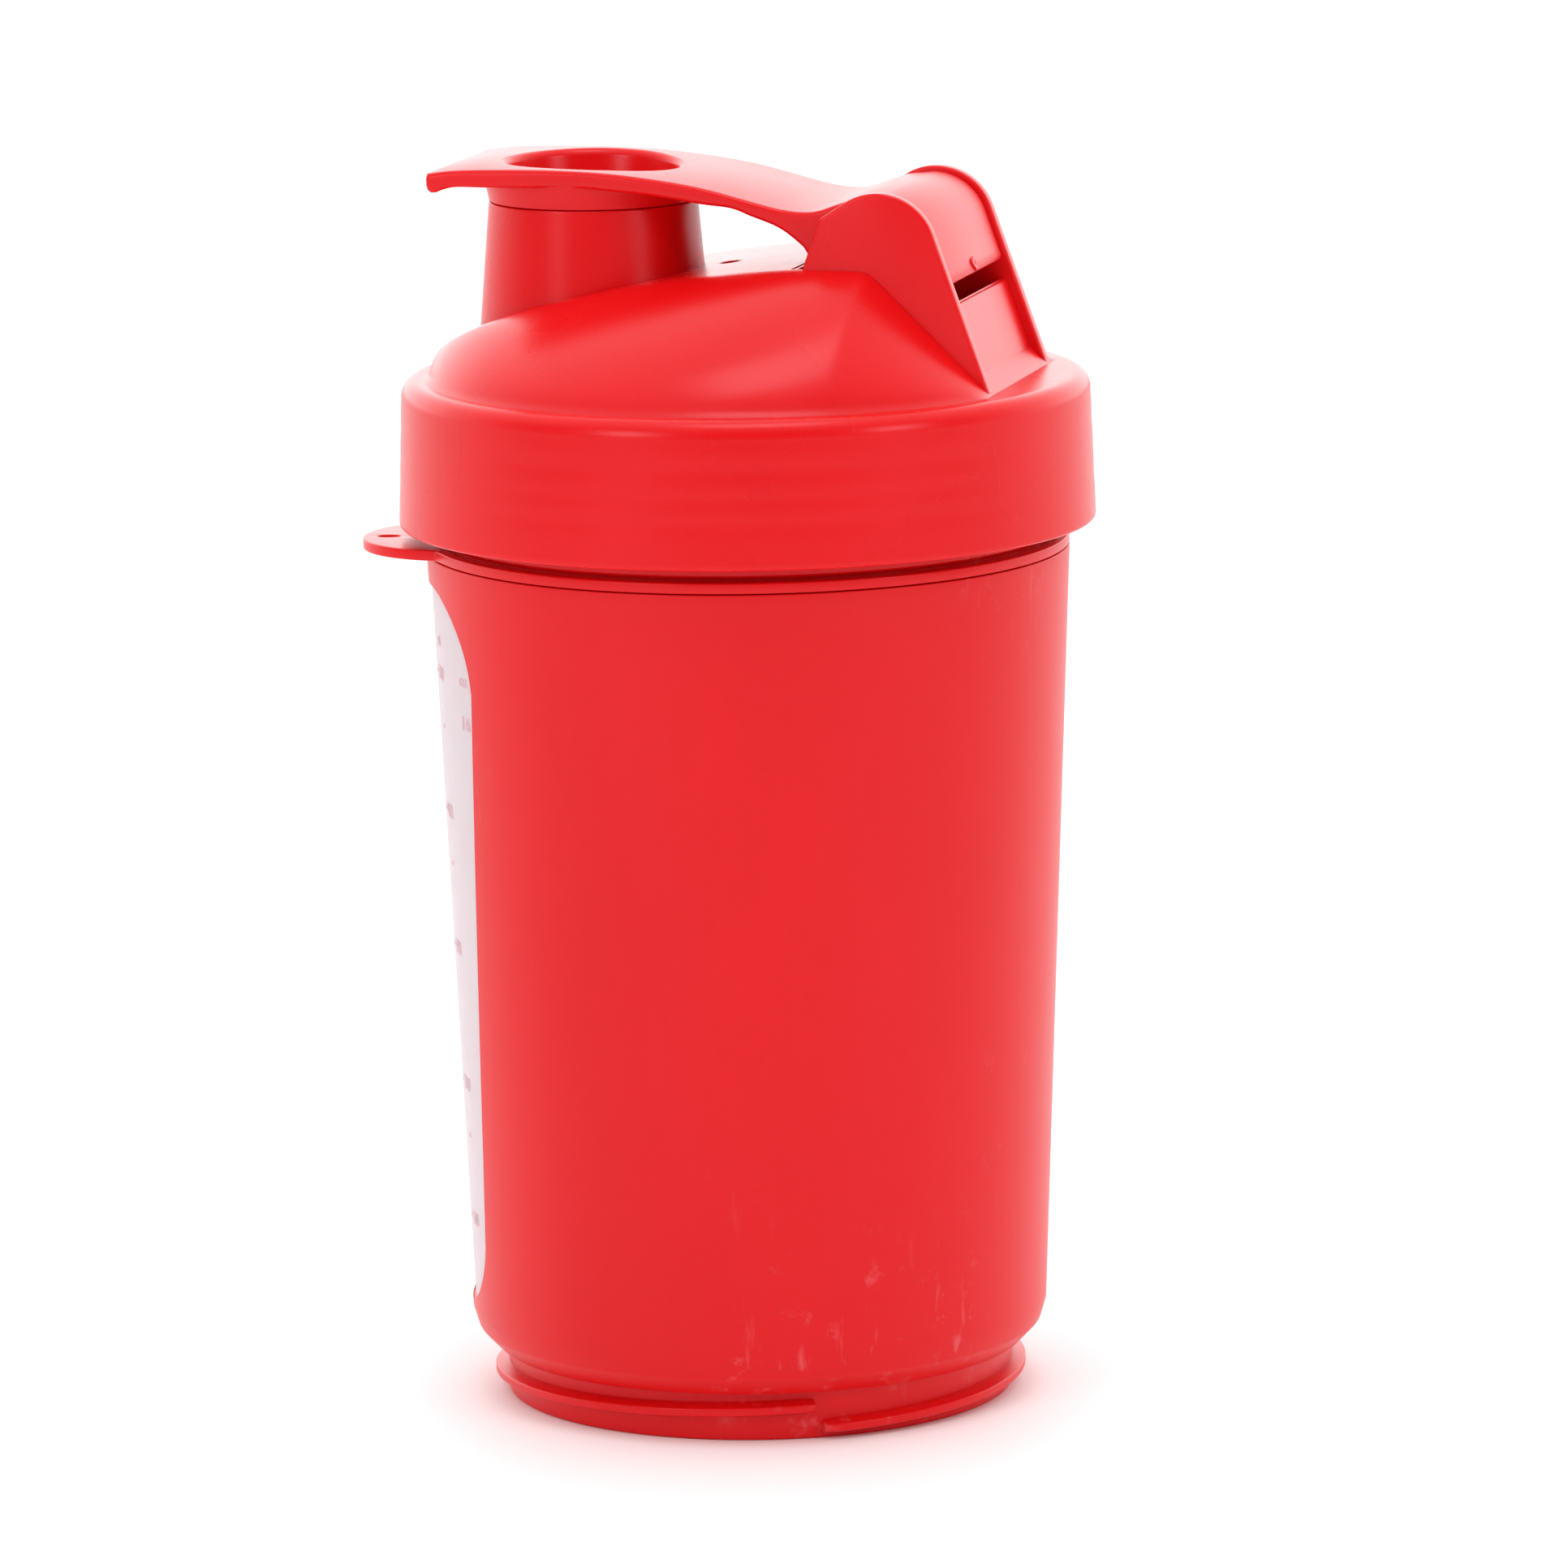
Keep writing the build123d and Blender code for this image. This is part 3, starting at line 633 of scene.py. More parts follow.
def build_lid():
    """The lid: skirt, plate, dome, spout, ears, hinge trough and back panel, in one object."""
    skirt = build_skirt()
    dome = dome_solid("dome", 0.0, 1.2)
    boolean(dome, dome_solid("dome_room", DOME_WALL, 1.4))
    bore = [(0, 120.0), (13.9, 120.0), (13.9, 190.0), (0, 190.0)]
    boolean(dome, lathe("bore_cut", bore, 96, centre=(SPOUT_X, 0.0)))
    boolean(dome, cylinder_y("trough_cut", HX, HZ, TROUGH_R + 0.9, -TROUGH_HALF, TROUGH_HALF))
    ball = DIMPLE_BALL
    ball_z = deck_line(DIMPLE_X, 0.0) + ball - DIMPLE_DEPTH
    ball_line = [(ball * sin(pi * k / 40), ball_z - ball * cos(pi * k / 40)) for k in range(41)]
    boolean(dome, lathe("dimple_cut", ball_line, 64, centre=(DIMPLE_X, 0.0)))

    root = SPOUT_R + SPOUT_TAPER * 25
    spout_profile = rounded(
        [
            (SPOUT_BORE, 144.6),
            (root + 0.2, 144.6),
            (root + 0.1, 146.0),
            (SPOUT_R + 0.02, RIM_Z - 0.4),
            (SPOUT_R, RIM_Z),
            (SPOUT_BORE, RIM_Z),
            (SPOUT_BORE, 144.6),
        ],
        [0.1, 0.1, 0.1, 0.35, 0.35],
        4,
    )[:-1]
    spout = lathe("spout", spout_profile, 200, centre=(SPOUT_X, 0.0), smooth_angle=40.0)
    boolean(spout, dome_solid("spout_room", DOME_WALL, 40.0))

    ears = []
    outline = ear_outline()
    for side in (-1, 1):
        y0, y1 = sorted((side * DECK_HALF, side * (DECK_HALF - EAR_T)))
        ear = side_slab("ear", outline, y0, y1, 0.4, 4)
        socket = cylinder_y("socket", HX, HZ, SOCKET_R, *sorted((side * 15.0, side * 17.15)), segments=48)
        boolean(ear, socket)
        ears.append(ear)

    # The trough is a bent sheet between the ears, from the deck's edge round to the back panel.
    low, high = 162.35 - HZ, PANEL_TOP - HZ
    start = atan2(low, -sqrt(TROUGH_R**2 - low**2)) % (2 * pi)
    end = 2 * pi + atan2(high, sqrt(TROUGH_R**2 - high**2))
    steps = 48
    turns = [start + (end - start) * k / steps for k in range(steps + 1)]
    sheet = [(HX + TROUGH_R * cos(a), HZ + TROUGH_R * sin(a)) for a in turns]
    under = TROUGH_R + 1.7
    outside = [(HX + under * cos(a), HZ + under * sin(a)) for a in reversed(turns)]
    panel_out = EAR_R - PANEL_RECESS
    down_top = (HZ + panel_out * NZ - PANEL_TOP) / NX
    outside = [p for p in outside if (p[0] - HX) * NX + (p[1] - HZ) * NZ < panel_out and p[1] < 162.2]
    trough = side_slab("trough", sheet + outside, -TROUGH_HALF, TROUGH_HALF, 0.02, 1)
    down_end = (HZ + EAR_R * NZ - LEDGE + 0.6) / NX
    panel = rounded(
        [
            behind(panel_out - PANEL_T, down_top + 2.0),
            behind(panel_out - PANEL_T, down_top),
            behind(panel_out, down_top),
            behind(panel_out, down_end),
            behind(panel_out - PANEL_T, down_end),
            behind(panel_out - PANEL_T, down_top + 2.0),
        ],
        [0.3, 0.45, 0.1, 0.1],
        4,
    )[:-1]
    back = side_slab("back_panel", panel, -TROUGH_HALF, TROUGH_HALF, 0.02, 1)

    ridges = []
    for begin in (10.0, 130.0, 250.0):
        low = NECK_THREAD_Z + NECK_LEAD * (10.0 / 360) - 2.0
        ridges.append(thread("lid_ridge", SKIRT_BORE, -2.0, NECK_LEAD, 100.0, low, 1.9, 0.9, begin))
    return join("lid", [skirt, dome, spout, *ears, trough, back, *ridges], 34.0)


# ---- Flip cap ------------------------------------------------------------------------------------------
ARM_TOP = spline_points(
    [
        (-41.6, 174.6),
        (-37.5, 175.1),
        (-31.0, 175.3),
        (-23.3, 175.33),
        (-15.4, 175.0),
        (-7.6, 174.15),
        (-1.35, 173.1),
        (5.8, 171.3),
        (9.2, 170.5),
        (12.2, 170.15),
        (14.6, 170.3),
        (17.2, 171.15),
        (20.2, 172.1),
        (23.9, 172.55),
    ],
    6,
)
ARM_UNDER = spline_points(
    [
        (-39.6, 172.3),
        (-37.5, 172.75),
        (-33.0, 172.75),
        (-20.0, 172.85),
        (-15.4, 172.55),
        (-9.2, 172.0),
        (-2.0, 170.95),
        (2.3, 170.45),
        (5.2, 169.4),
        (9.2, 167.85),
        (12.3, 165.6),
        (13.2, 164.45),
    ],
    6,
)


def build_flip():
    """The flip cap: a thin arm with a finger well and plug, and the knuckle with its tail and pins."""
    outline = list(ARM_TOP)
    for k in range(1, 19):
        a = pi / 2 + (BACK_ANGLE - pi / 2) * k / 18
        outline.append((HX + KNUCKLE_R * cos(a), HZ + KNUCKLE_R * sin(a)))
    outline += [behind(KNUCKLE_R, 6.9 * k / 6) for k in range(1, 7)]
    outline += [behind(7.5, 7.35), behind(7.0, 7.55), behind(5.8, 7.55), behind(5.45, 7.2)]
    outline += [(HX + 1.5, HZ - 7.5), (18.6, 160.3), (13.6, 162.9)]
    outline += ARM_UNDER[::-1]
    outline += [(-40.4, 171.95), (-41.1, 171.9), (-41.6, 172.3), (-41.8, 173.0), (-41.8, 174.0)]
    cap = side_slab("cap", outline, -FLIP_HALF, FLIP_HALF, 0.6, 5, smooth_angle=28.0)
    plug = [(0, 164.9), (11.9, 164.9), (12.2, 165.3), (12.3, 166.0), (12.45, 168.5), (12.6, 169.4)]
    plug += [(12.9, 169.7), (14.5, 169.7), (14.72, 169.82), (14.78, 170.2), (14.95, 171.0), (15.15, 171.9)]
    plug += [(15.25, 172.4), (15.25, 173.4), (0, 173.4)]
    boolean(cap, lathe("plug", plug, 200, centre=(SPOUT_X, 0.0)), "UNION")
    boolean(cap, well_cutter())
    turns = [BACK_ANGLE + (pi - BACK_ANGLE) * k / 24 for k in range(25)]
    core = [(HX + CORE_R * cos(a), HZ + CORE_R * sin(a)) for a in turns]
    core += [(HX - 6.4, HZ - 4.0), (HX - 6.4, HZ - 12.0), behind(CORE_R, 16.0)]
    boolean(cap, side_slab("core", core, -CORE_HALF, CORE_HALF, 0.3, 2))
    pins = []
    for side in (-1, 1):
        pins.append(cylinder_y("pin", HX, HZ, PIN_R, *sorted((side * 14.5, side * 16.95)), segments=48))
    return join("flip", [cap, *pins, gate_mark()], 34.0)


def well_cutter():
    """The finger well's space, with a rim that rounds over onto the arm's curved top."""
    turns = [2 * pi * k / 160 for k in range(160)]
    levels = [(9.9 + 1.3 * sin(pi / 2 * k / 5), 167.7 - 1.3 * cos(pi / 2 * k / 5)) for k in range(6)]
    levels += [(11.5, 171.0)]
    rings = [[(SPOUT_X + r * cos(t), r * sin(t), z) for t in turns] for r, z in levels]
    for k in range(8):
        a = radians(80) * k / 7
        r = 12.0 + WELL_RIM * (1 - cos(a))
        lift = WELL_RIM * (sin(a) - 1)
        circle = [(SPOUT_X + r * cos(t), r * sin(t)) for t in turns]
        rings.append([(x, y, interpolate(ARM_TOP, x) + lift) for x, y in circle])
    rings.append([(x, y, 180.0) for x, y, z in rings[-1]])
    return rings_object("well_cutter", rings)


def gate_mark():
    """The small uneven moulding mark on the knuckle's back."""
    profile = [(0, -0.4), (1.0, -0.4), (0.98, 0.12), (0.85, 0.3), (0.5, 0.34), (0.2, 0.22), (0, 0.2)]
    mark = lathe("gate_mark", profile, 36)
    out = Vector((NX, 0.0, NZ))
    spot = behind(KNUCKLE_R, 6.2)
    place = Vector((spot[0], -0.5, spot[1]))
    turn = Vector((0, 0, 1)).rotation_difference(out).to_matrix()
    for v in mark.data.vertices:
        uneven = 1 + 0.12 * sin(3 * atan2(v.co.y, v.co.x) + 0.8)
        v.co = turn @ Vector((v.co.x * uneven, v.co.y * uneven * 1.05, v.co.z)) + place * MM
    return mark


# ---- Ring, seal and inner cup --------------------------------------------------------------------------
def build_ring():
    """The carry ring with its round tab and eyelet, cut from a flat outline with rounded edges."""
    bevel = 0.22
    curve = bpy.data.curves.new("carry", "CURVE")
    curve.dimensions = "2D"
    curve.fill_mode = "BOTH"
    outer = []
    count = 720
    for k in range(count):
        a = 2 * pi * k / count
        r = RING_R
        if abs(sin(a)) < 0.345 and cos(a) > 0:
            tab = TAB_AT * cos(a) + sqrt(TAB_R**2 - (TAB_AT * sin(a)) ** 2)
            r = (r + tab + sqrt((r - tab) ** 2 + 0.5)) / 2
        outer.append((r * cos(a + TAB_AZ), r * sin(a + TAB_AZ)))
    inner = [(RING_BORE * cos(2 * pi * k / 360), RING_BORE * sin(2 * pi * k / 360)) for k in range(360)]
    eyelet = []
    for k in range(36):
        a = 2 * pi * k / 36
        x, y = EYELET_AT + EYELET_LONG * cos(a), EYELET_WIDE * sin(a)
        eyelet.append((x * cos(TAB_AZ) - y * sin(TAB_AZ), x * sin(TAB_AZ) + y * cos(TAB_AZ)))
    for line in (outer, inner, eyelet):
        spline = curve.splines.new("POLY")
        spline.points.add(len(line) - 1)
        for point, (x, y) in zip(spline.points, line):
            point.co = (x * MM, y * MM, 0.0, 1.0)
        spline.use_cyclic_u = True
    thickness = ring_high[2] - ring_low[2]
    curve.extrude = (thickness / 2 - bevel) * MM
    curve.bevel_depth = bevel * MM
    curve.bevel_resolution = 3
    curve.offset = -bevel * MM
    holder = bpy.data.objects.new("carry_curve", curve)
    bpy.context.scene.collection.objects.link(holder)
    bpy.context.view_layer.update()
    mesh = bpy.data.meshes.new_from_object(holder.evaluated_get(bpy.context.evaluated_depsgraph_get()))
    bpy.data.objects.remove(holder)
    obj = bpy.data.objects.new("carry_tab_ring", mesh)
    bpy.context.scene.collection.objects.link(obj)
    middle = (ring_low[2] + ring_high[2]) / 2
    for v in mesh.vertices:
        v.co.z += middle * MM
    tidy_mesh(obj, 40.0)
    return obj


def build_liner():
    """The translucent inner cup, with the pad that stands forward in the window."""
    profile = rounded(
        [
            (0.5, 7.25),
            (34.75, 7.25),
            (38.15, 9.65),
            (cup_radius(WALL_LOW) - 1.05, WALL_LOW),
            (cup_radius(115.5) - 1.05, 115.5),
            (42.85, 119.5),
            (42.85, 140.85),
            (41.7, 140.85),
            (41.7, 119.5),
            (cup_radius(115.5) - 2.2, 115.5),
            (cup_radius(WALL_LOW) - 2.2, WALL_LOW),
            (37.0, 10.4),
            (33.6, 8.7),
            (0.5, 8.7),
        ],
        [0.4, 1.0, 0.5, 0.5, 0.2, 0.4, 0.4, 0.5, 0.5, 1.5, 1.0, 1.0],
        4,
    )
    body = lathe("liner_body", profile, 256)
    # The pad: the window's outline a little smaller, crowned to the cup's own curve.
    count = 220
    outline = [window_edge(2 * pi * k / count) for k in range(count)]

    def pad_ring(scale, shrink, inset):
        ring = []
        for u, z in outline:
            away = away_from_middle(u, z)
            uu = (u - away.x * shrink) * scale
            zz = WINDOW_MID + (z - WINDOW_MID - away.y * shrink) * scale
            ring.append(cup_point(uu, zz, inset))
        return ring

    back = 1.3
    steps = [(scale, 0.0, PAD_RECESS) for scale in (0.02, 0.2, 0.4, 0.6, 0.8, 0.95)]
    steps += [(1.0, 0.4, PAD_RECESS), (1.0, 0.25, 0.5), (1.0, 0.17, 0.62), (1.0, 0.16, back)]
    steps += [(scale, 0.0, back) for scale in (0.8, 0.5, 0.02)]
    pad = rings_object("liner_pad", [pad_ring(*step) for step in steps], 40.0)
    return join("cup_inner", [body, pad], 40.0)


# ---- Printed scale -------------------------------------------------------------------------------------
def text_mesh(text, size):
    """The flat outline of a number or unit as mesh data, in metres, centred on its own middle."""
    curve = bpy.data.curves.new("mark", "FONT")
    curve.body = text
    curve.size = size * MM
    curve.align_x = "CENTER"
    curve.align_y = "CENTER"
    curve.resolution_u = 3
    holder = bpy.data.objects.new("mark", curve)
    bpy.context.scene.collection.objects.link(holder)
    bpy.context.view_layer.update()
    mesh = bpy.data.meshes.new_from_object(holder.evaluated_get(bpy.context.evaluated_depsgraph_get()))
    bpy.data.objects.remove(holder)
    return mesh


def build_scale():
    """The scale's ticks and generic numbers, as a thin film of ink on the window."""
    bm = bmesh.new()
    sink = PAD_RECESS - 0.035

    def stamp(mesh, u, z):
        base = len(bm.verts)
        bm.from_mesh(mesh)
        bm.verts.ensure_lookup_table()
        for v in bm.verts[base:]:
            x, y, zz = cup_point(u + v.co.x / MM, z + v.co.y / MM, sink)
            v.co = Vector((x * MM, y * MM, zz * MM))
        bpy.data.meshes.remove(mesh)

    def bar(u0, u1, z, thick):
        steps = 6
        line = []
        for height in (z - thick / 2, z + thick / 2):
            points = [cup_point(u0 + (u1 - u0) * k / steps, height, sink) for k in range(steps + 1)]
            line.append([bm.verts.new(Vector(point) * MM) for point in points])
        for k in range(steps):
            bm.faces.new((line[0][k], line[0][k + 1], line[1][k + 1], line[1][k]))

    first, pitch = 26.0, 19.65
    for k in range(5):
        z = first + pitch * k
        stamp(text_mesh(str(100 * (k + 1)), 2.9), 7.9, z)
        bar(3.2, 4.6, z, 0.5)
        if k in (0, 2, 3):
            bar(7.2, 8.4, z + 0.62 * pitch, 0.6)
    stamp(text_mesh("ml", 2.6), 7.9, 109.4)
    stamp(text_mesh("oz", 2.6), 18.4, 105.2)
    stamp(text_mesh("16", 2.9), 18.4, 99.0)
    mesh = bpy.data.meshes.new("scale_print")
    bm.to_mesh(mesh)
    bm.free()
    obj = bpy.data.objects.new("scale_print", mesh)
    bpy.context.scene.collection.objects.link(obj)
    return obj


# ---- Materials -----------------------------------------------------------------------------------------
def new_material(name):
    """A new node material, with its tree and its shader."""
    mat = bpy.data.materials.new(name)
    mat.use_nodes = True
    tree = mat.node_tree
    shader = tree.nodes["Principled BSDF"]
    return mat, tree, shader


def noise(tree, coords, scale, detail=3.0, rough=0.5, stretch=(1.0, 1.0, 1.0)):
    """A noise texture on object coordinates."""
    mapping = tree.nodes.new("ShaderNodeMapping")
    mapping.inputs["Scale"].default_value = stretch
    tree.links.new(coords, mapping.inputs["Vector"])
    node = tree.nodes.new("ShaderNodeTexNoise")
    node.inputs["Scale"].default_value = scale
    node.inputs["Detail"].default_value = detail
    node.inputs["Roughness"].default_value = rough
    tree.links.new(mapping.outputs["Vector"], node.inputs["Vector"])
    return node.outputs["Fac"]


def remap(tree, value, low, high, to_low, to_high):
    """Maps a value's range onto another, clamped."""
    node = tree.nodes.new("ShaderNodeMapRange")
    node.inputs["From Min"].default_value = low
    node.inputs["From Max"].default_value = high
    node.inputs["To Min"].default_value = to_low
    node.inputs["To Max"].default_value = to_high
    tree.links.new(value, node.inputs["Value"])
    return node.outputs["Result"]


def combine(tree, operation, a, b):
    """A two-input math node; inputs are sockets or numbers."""
    node = tree.nodes.new("ShaderNodeMath")
    node.operation = operation
    for socket, value in zip(node.inputs, (a, b)):
        if isinstance(value, (int, float)):
            socket.default_value = value
        else:
            tree.links.new(value, socket)
    return node.outputs["Value"]


def mix_color(tree, factor, a, b):
    """Mixes two colours; each is a socket or an RGB tuple."""
    node = tree.nodes.new("ShaderNodeMix")
    node.data_type = "RGBA"
    tree.links.new(factor, node.inputs["Factor"])
    for socket, value in ((node.inputs["A"], a), (node.inputs["B"], b)):
        if isinstance(value, tuple):
            socket.default_value = (*value, 1.0)
        else:
            tree.links.new(value, socket)
    return node.outputs["Result"]


def red_plastic(name, scuffs=0.0, rough=0.34):
    """Moulded red plastic: slight cloudiness, fine matt grain, faint waves and, if asked for, pale scuffs."""
    mat, tree, shader = new_material(name)
    coords = tree.nodes.new("ShaderNodeTexCoord").outputs["Object"]
    cloud = noise(tree, coords, 26.0, 4.0, 0.55, (1.0, 1.0, 0.6))
    share = remap(tree, cloud, 0.3, 0.7, 0.0, 1.0)
    color = mix_color(tree, share, (0.71, 0.0030, 0.0040), (0.76, 0.0050, 0.0070))
    shader_rough = remap(tree, cloud, 0.3, 0.7, rough - 0.03, rough + 0.03)
    if scuffs:
        patch = remap(tree, noise(tree, coords, 20.0, 2.0, 0.5), 0.56, 0.68, 0.0, 1.0)
        flecks = remap(tree, noise(tree, coords, 190.0, 5.0, 0.72), 0.58, 0.74, 0.0, 1.0)
        strokes = remap(tree, noise(tree, coords, 240.0, 3.0, 0.6, (1.5, 1.5, 0.3)), 0.62, 0.76, 0.0, 1.0)
        marks = combine(tree, "MULTIPLY", patch, combine(tree, "MAXIMUM", flecks, strokes))
        marks = combine(tree, "MULTIPLY", marks, scuffs)
        color = mix_color(tree, marks, color, (0.93, 0.30, 0.32))
        shader_rough = combine(tree, "ADD", shader_rough, combine(tree, "MULTIPLY", marks, 0.25))
    tree.links.new(color, shader.inputs["Base Color"])
    tree.links.new(shader_rough, shader.inputs["Roughness"])
    shader.inputs["Subsurface Weight"].default_value = 0.12
    shader.inputs["Subsurface Radius"].default_value = (0.006, 0.0012, 0.001)
    shader.inputs["Subsurface Scale"].default_value = 0.4
    shader.inputs["IOR"].default_value = 1.49
    shader.inputs["Specular IOR Level"].default_value = 0.30
    shader.inputs["Specular Tint"].default_value = (1.0, 0.84, 0.94, 1.0)
    bump = tree.nodes.new("ShaderNodeBump")
    bump.inputs["Strength"].default_value = 0.10
    bump.inputs["Distance"].default_value = 0.0004
    grain = noise(tree, coords, 2600.0, 2.0, 0.5)
    waves = noise(tree, coords, 60.0, 2.0, 0.5)
    height = combine(tree, "ADD", combine(tree, "MULTIPLY", grain, 0.35), waves)
    tree.links.new(height, bump.inputs["Height"])
    tree.links.new(bump.outputs["Normal"], shader.inputs["Normal"])
    return mat


def clear_plastic():
    """Frosted, slightly pink inner cup."""
    mat, tree, shader = new_material("frosted_cup")
    coords = tree.nodes.new("ShaderNodeTexCoord").outputs["Object"]
    cloud = noise(tree, coords, 40.0, 3.0)
    color = mix_color(tree, remap(tree, cloud, 0.3, 0.7, 0.0, 1.0), (0.98, 0.74, 0.79), (1.0, 0.81, 0.85))
    tree.links.new(color, shader.inputs["Base Color"])
    tree.links.new(remap(tree, cloud, 0.3, 0.7, 0.30, 0.40), shader.inputs["Roughness"])
    shader.inputs["IOR"].default_value = 1.49
    shader.inputs["Transmission Weight"].default_value = 0.35
    shader.inputs["Subsurface Weight"].default_value = 0.3
    shader.inputs["Subsurface Radius"].default_value = (0.01, 0.006, 0.006)
    shader.inputs["Subsurface Scale"].default_value = 0.3
    bump = tree.nodes.new("ShaderNodeBump")
    bump.inputs["Strength"].default_value = 0.08
    bump.inputs["Distance"].default_value = 0.0003
    tree.links.new(noise(tree, coords, 1400.0, 2.0), bump.inputs["Height"])
    tree.links.new(bump.outputs["Normal"], shader.inputs["Normal"])
    return mat


def plain_material(name, low, high, rough, scale=300.0, strength=0.1):
    """A moulded material with small tone and roughness changes and a fine grain."""
    mat, tree, shader = new_material(name)
    coords = tree.nodes.new("ShaderNodeTexCoord").outputs["Object"]
    cloud = noise(tree, coords, scale / 6, 3.0)
    share = remap(tree, cloud, 0.3, 0.7, 0.0, 1.0)
    tree.links.new(mix_color(tree, share, low, high), shader.inputs["Base Color"])
    tree.links.new(remap(tree, cloud, 0.3, 0.7, rough - 0.04, rough + 0.06), shader.inputs["Roughness"])
    bump = tree.nodes.new("ShaderNodeBump")
    bump.inputs["Strength"].default_value = strength
    bump.inputs["Distance"].default_value = 0.0003
    tree.links.new(noise(tree, coords, scale * 4, 3.0), bump.inputs["Height"])
    tree.links.new(bump.outputs["Normal"], shader.inputs["Normal"])
    return mat


def dress(obj, material):
    """Gives an object one material."""
    obj.data.materials.clear()
    obj.data.materials.append(material)


red_cup = red_plastic("red_cup_plastic", scuffs=0.45, rough=0.36)
red_lid = red_plastic("red_lid_plastic", scuffs=0.0, rough=0.27)
red_flip = red_plastic("red_flip_plastic", scuffs=0.0, rough=0.30)
red_ring = red_plastic("red_ring_plastic", scuffs=0.0, rough=0.30)
frosted = clear_plastic()
strainer_mat = plain_material("strainer_plastic", (0.78, 0.78, 0.76), (0.86, 0.86, 0.84), 0.42)
seal_mat = plain_material("seal_rubber", (0.70, 0.70, 0.68), (0.78, 0.78, 0.76), 0.6)
ink_mat = plain_material("scale_ink", (0.80, 0.40, 0.46), (0.86, 0.50, 0.55), 0.55)

cup = build_cup()
dress(cup, red_cup)
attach(cup, "cup")
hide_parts("cup_shell")

liner = build_liner()
dress(liner, frosted)
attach(liner, "cup")
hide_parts("cup_liner")

ink = build_scale()
dress(ink, ink_mat)
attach(ink, "cup")

ring = build_ring()
dress(ring, red_ring)
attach(ring, "ring")
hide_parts("carry_ring")

seal_profile = rounded(
    [
        (43.0, seal_low[2]),
        (seal_high[0] - 0.05, seal_low[2]),
        (seal_high[0] - 0.05, seal_high[2]),
        (41.25, seal_high[2]),
        (41.25, seal_low[2]),
        (43.0, seal_low[2]),
    ],
    [0.5, 0.5, 0.5, 0.5],
    5,
)[:-1]
seal = lathe("seal_ring", seal_profile, 192)
dress(seal, seal_mat)
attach(seal, "seal")
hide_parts("lid_seal")

lid = build_lid()
dress(lid, red_lid)
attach(lid, "lid")
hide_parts("lid_shell")

flip = build_flip()
dress(flip, red_flip)
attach(flip, "flip")
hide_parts("flip_cap")

dress(frame["nodes"]["strainer"], strainer_mat)

# ---- Floor, lights and camera --------------------------------------------------------------------------
floor_mat, floor_tree, floor_shader = new_material("pale_floor")
floor_coords = floor_tree.nodes.new("ShaderNodeTexCoord").outputs["Object"]
floor_cloud = noise(floor_tree, floor_coords, 3.0, 2.0)
floor_share = remap(floor_tree, floor_cloud, 0.3, 0.7, 0.0, 1.0)
floor_color = mix_color(floor_tree, floor_share, (0.93, 0.93, 0.93), (0.95, 0.95, 0.95))
floor_tree.links.new(floor_color, floor_shader.inputs["Base Color"])
floor_shader.inputs["Roughness"].default_value = 0.7


def turned(v):
    """A direction turned about Z from the camera's own frame into the row frame."""
    c, s = cos(CAMERA_AZ), sin(CAMERA_AZ)
    return Vector((v.x * c - v.y * s, v.x * s + v.y * c, v.z))


CAMERA = turned(Vector((0.0, -CAMERA_FAR, CAMERA_UP)))
toward = Vector((-CAMERA.x, -CAMERA.y, 0.0)).normalized()


def flat_floor():
    """A wide round floor slab under the bottle."""
    turns = [2 * pi * k / 96 for k in range(96)]
    rings = [[(FLOOR_R * cos(t), FLOOR_R * sin(t), z) for t in turns] for z in (-20.0, -0.02)]
    return rings_object("floor", rings, 60.0)


floor = flat_floor()
dress(floor, floor_mat)


def area_light(name, place, target, size, power):
    """A rectangular soft light at a place in millimetres, aimed at a target."""
    light = bpy.data.lights.new(name, "AREA")
    light.shape = "RECTANGLE"
    light.size = size[0] * MM
    light.size_y = size[1] * MM
    light.energy = power
    obj = bpy.data.objects.new(name, light)
    bpy.context.scene.collection.objects.link(obj)
    obj.location = Vector(place) * MM
    aim = Vector(target) - Vector(place)
    obj.rotation_euler = aim.to_track_quat("-Z", "Y").to_euler()
    return obj


right = Vector((toward.y, -toward.x, 0.0))


def placed_light(name, azimuth, elevation, distance, size, power, aim=(0.0, 0.0, 90.0)):
    """A soft light at an azimuth to the camera's right and an elevation, both in degrees from the bottle."""
    az, up = radians(azimuth), radians(elevation)
    flat = right * sin(az) - toward * cos(az)
    place = Vector((flat.x * cos(up), flat.y * cos(up), sin(up))) * distance + Vector(aim)
    return area_light(name, place, aim, size, power)


placed_light("key_left", -40, 18, 900, (220, 220), 1.15)
placed_light("key_right", 50, 18, 900, (220, 220), 1.0)
placed_light("top_soft", 10, 78, 1100, (500, 500), 2.6)


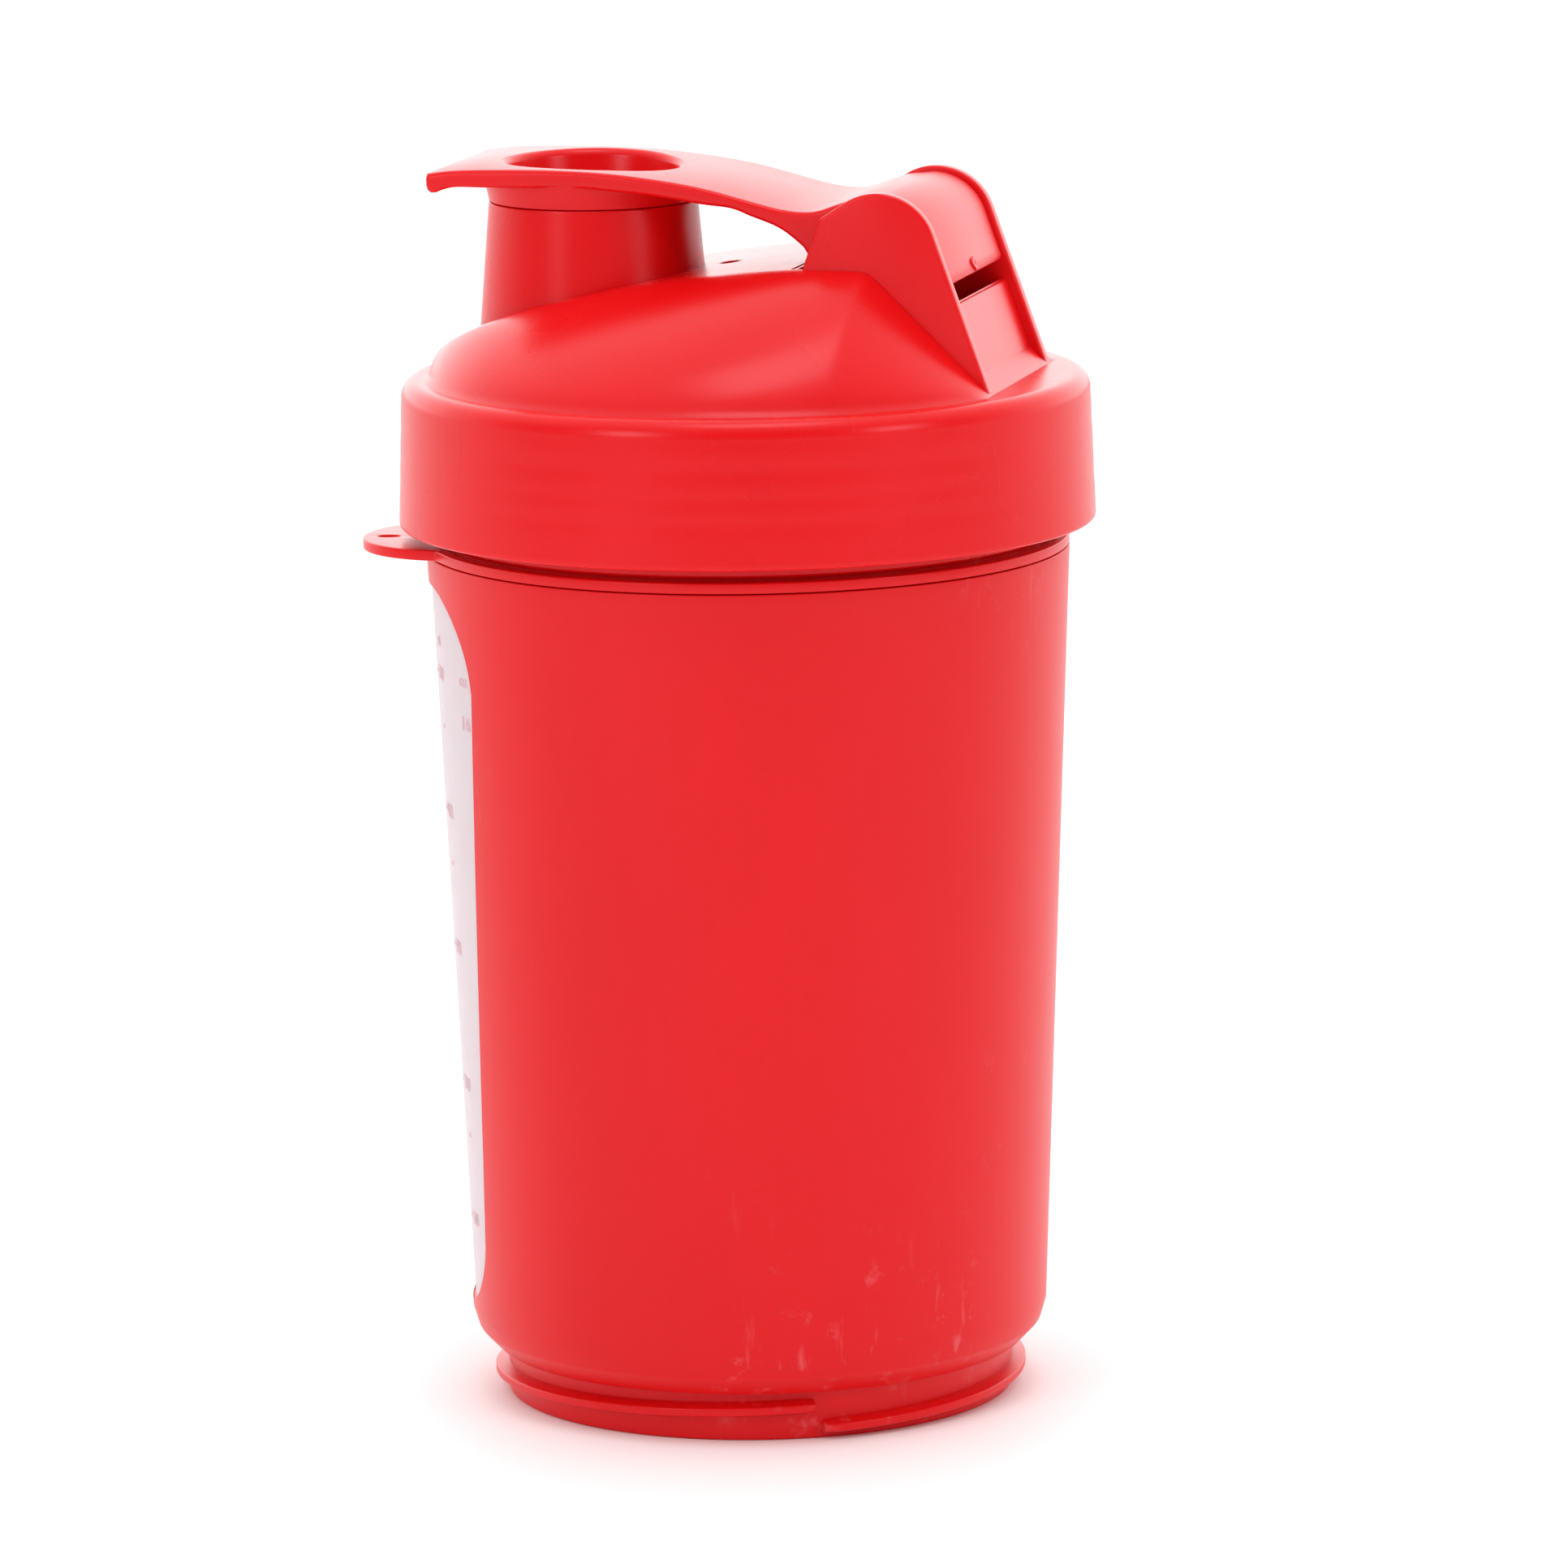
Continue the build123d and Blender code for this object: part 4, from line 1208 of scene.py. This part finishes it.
def studio_world():
    """White surroundings: dim towards the camera, bright behind the bottle and overhead."""
    surroundings = bpy.data.worlds.new("studio")
    surroundings.use_nodes = True
    tree = surroundings.node_tree
    coords = tree.nodes.new("ShaderNodeTexCoord").outputs["Generated"]
    facing = tree.nodes.new("ShaderNodeVectorMath")
    facing.operation = "DOT_PRODUCT"
    tree.links.new(coords, facing.inputs[0])
    facing.inputs[1].default_value = toward
    split = tree.nodes.new("ShaderNodeSeparateXYZ")
    tree.links.new(coords, split.inputs["Vector"])
    around = remap(tree, facing.outputs["Value"], -0.25, 0.75, SKY_FRONT, SKY_BACK)
    above = remap(tree, split.outputs["Z"], 0.35, 0.85, 0.0, 1.0)
    strength = tree.nodes.new("ShaderNodeMix")
    tree.links.new(above, strength.inputs["Factor"])
    tree.links.new(around, strength.inputs["A"])
    strength.inputs["B"].default_value = SKY_TOP
    background = tree.nodes["Background"]
    background.inputs["Color"].default_value = (1.0, 1.0, 1.0, 1.0)
    tree.links.new(strength.outputs["Result"], background.inputs["Strength"])
    return surroundings


bpy.context.scene.world = studio_world()
bpy.context.scene.view_settings.view_transform = "Standard"

camera_data = bpy.data.cameras.new("camera")
camera_data.sensor_width = SENSOR
camera_data.lens = LENS
camera_data.clip_start = 0.05
camera_data.clip_end = 20.0
camera = bpy.data.objects.new("camera", camera_data)
bpy.context.scene.collection.objects.link(camera)
ahead = cos(CAMERA_PITCH)
look = Vector((sin(CAMERA_YAW) * ahead, cos(CAMERA_YAW) * ahead, -sin(CAMERA_PITCH)))
across = Vector((cos(CAMERA_YAW), -sin(CAMERA_YAW), 0.0))
upward = across.cross(look)
cam_x = across * cos(CAMERA_ROLL) + upward * sin(CAMERA_ROLL)
cam_y = upward * cos(CAMERA_ROLL) - across * sin(CAMERA_ROLL)
axes = [turned(cam_x), turned(cam_y), -turned(look)]
matrix = camera.matrix_world.to_3x3()
for column, axis in enumerate(axes):
    for row in range(3):
        matrix[row][column] = axis[row]
camera.matrix_world = matrix.to_4x4()
camera.location = CAMERA * MM
bpy.context.scene.camera = camera

# ---- Scene update --------------------------------------------------------------------------------------
bpy.context.view_layer.update()
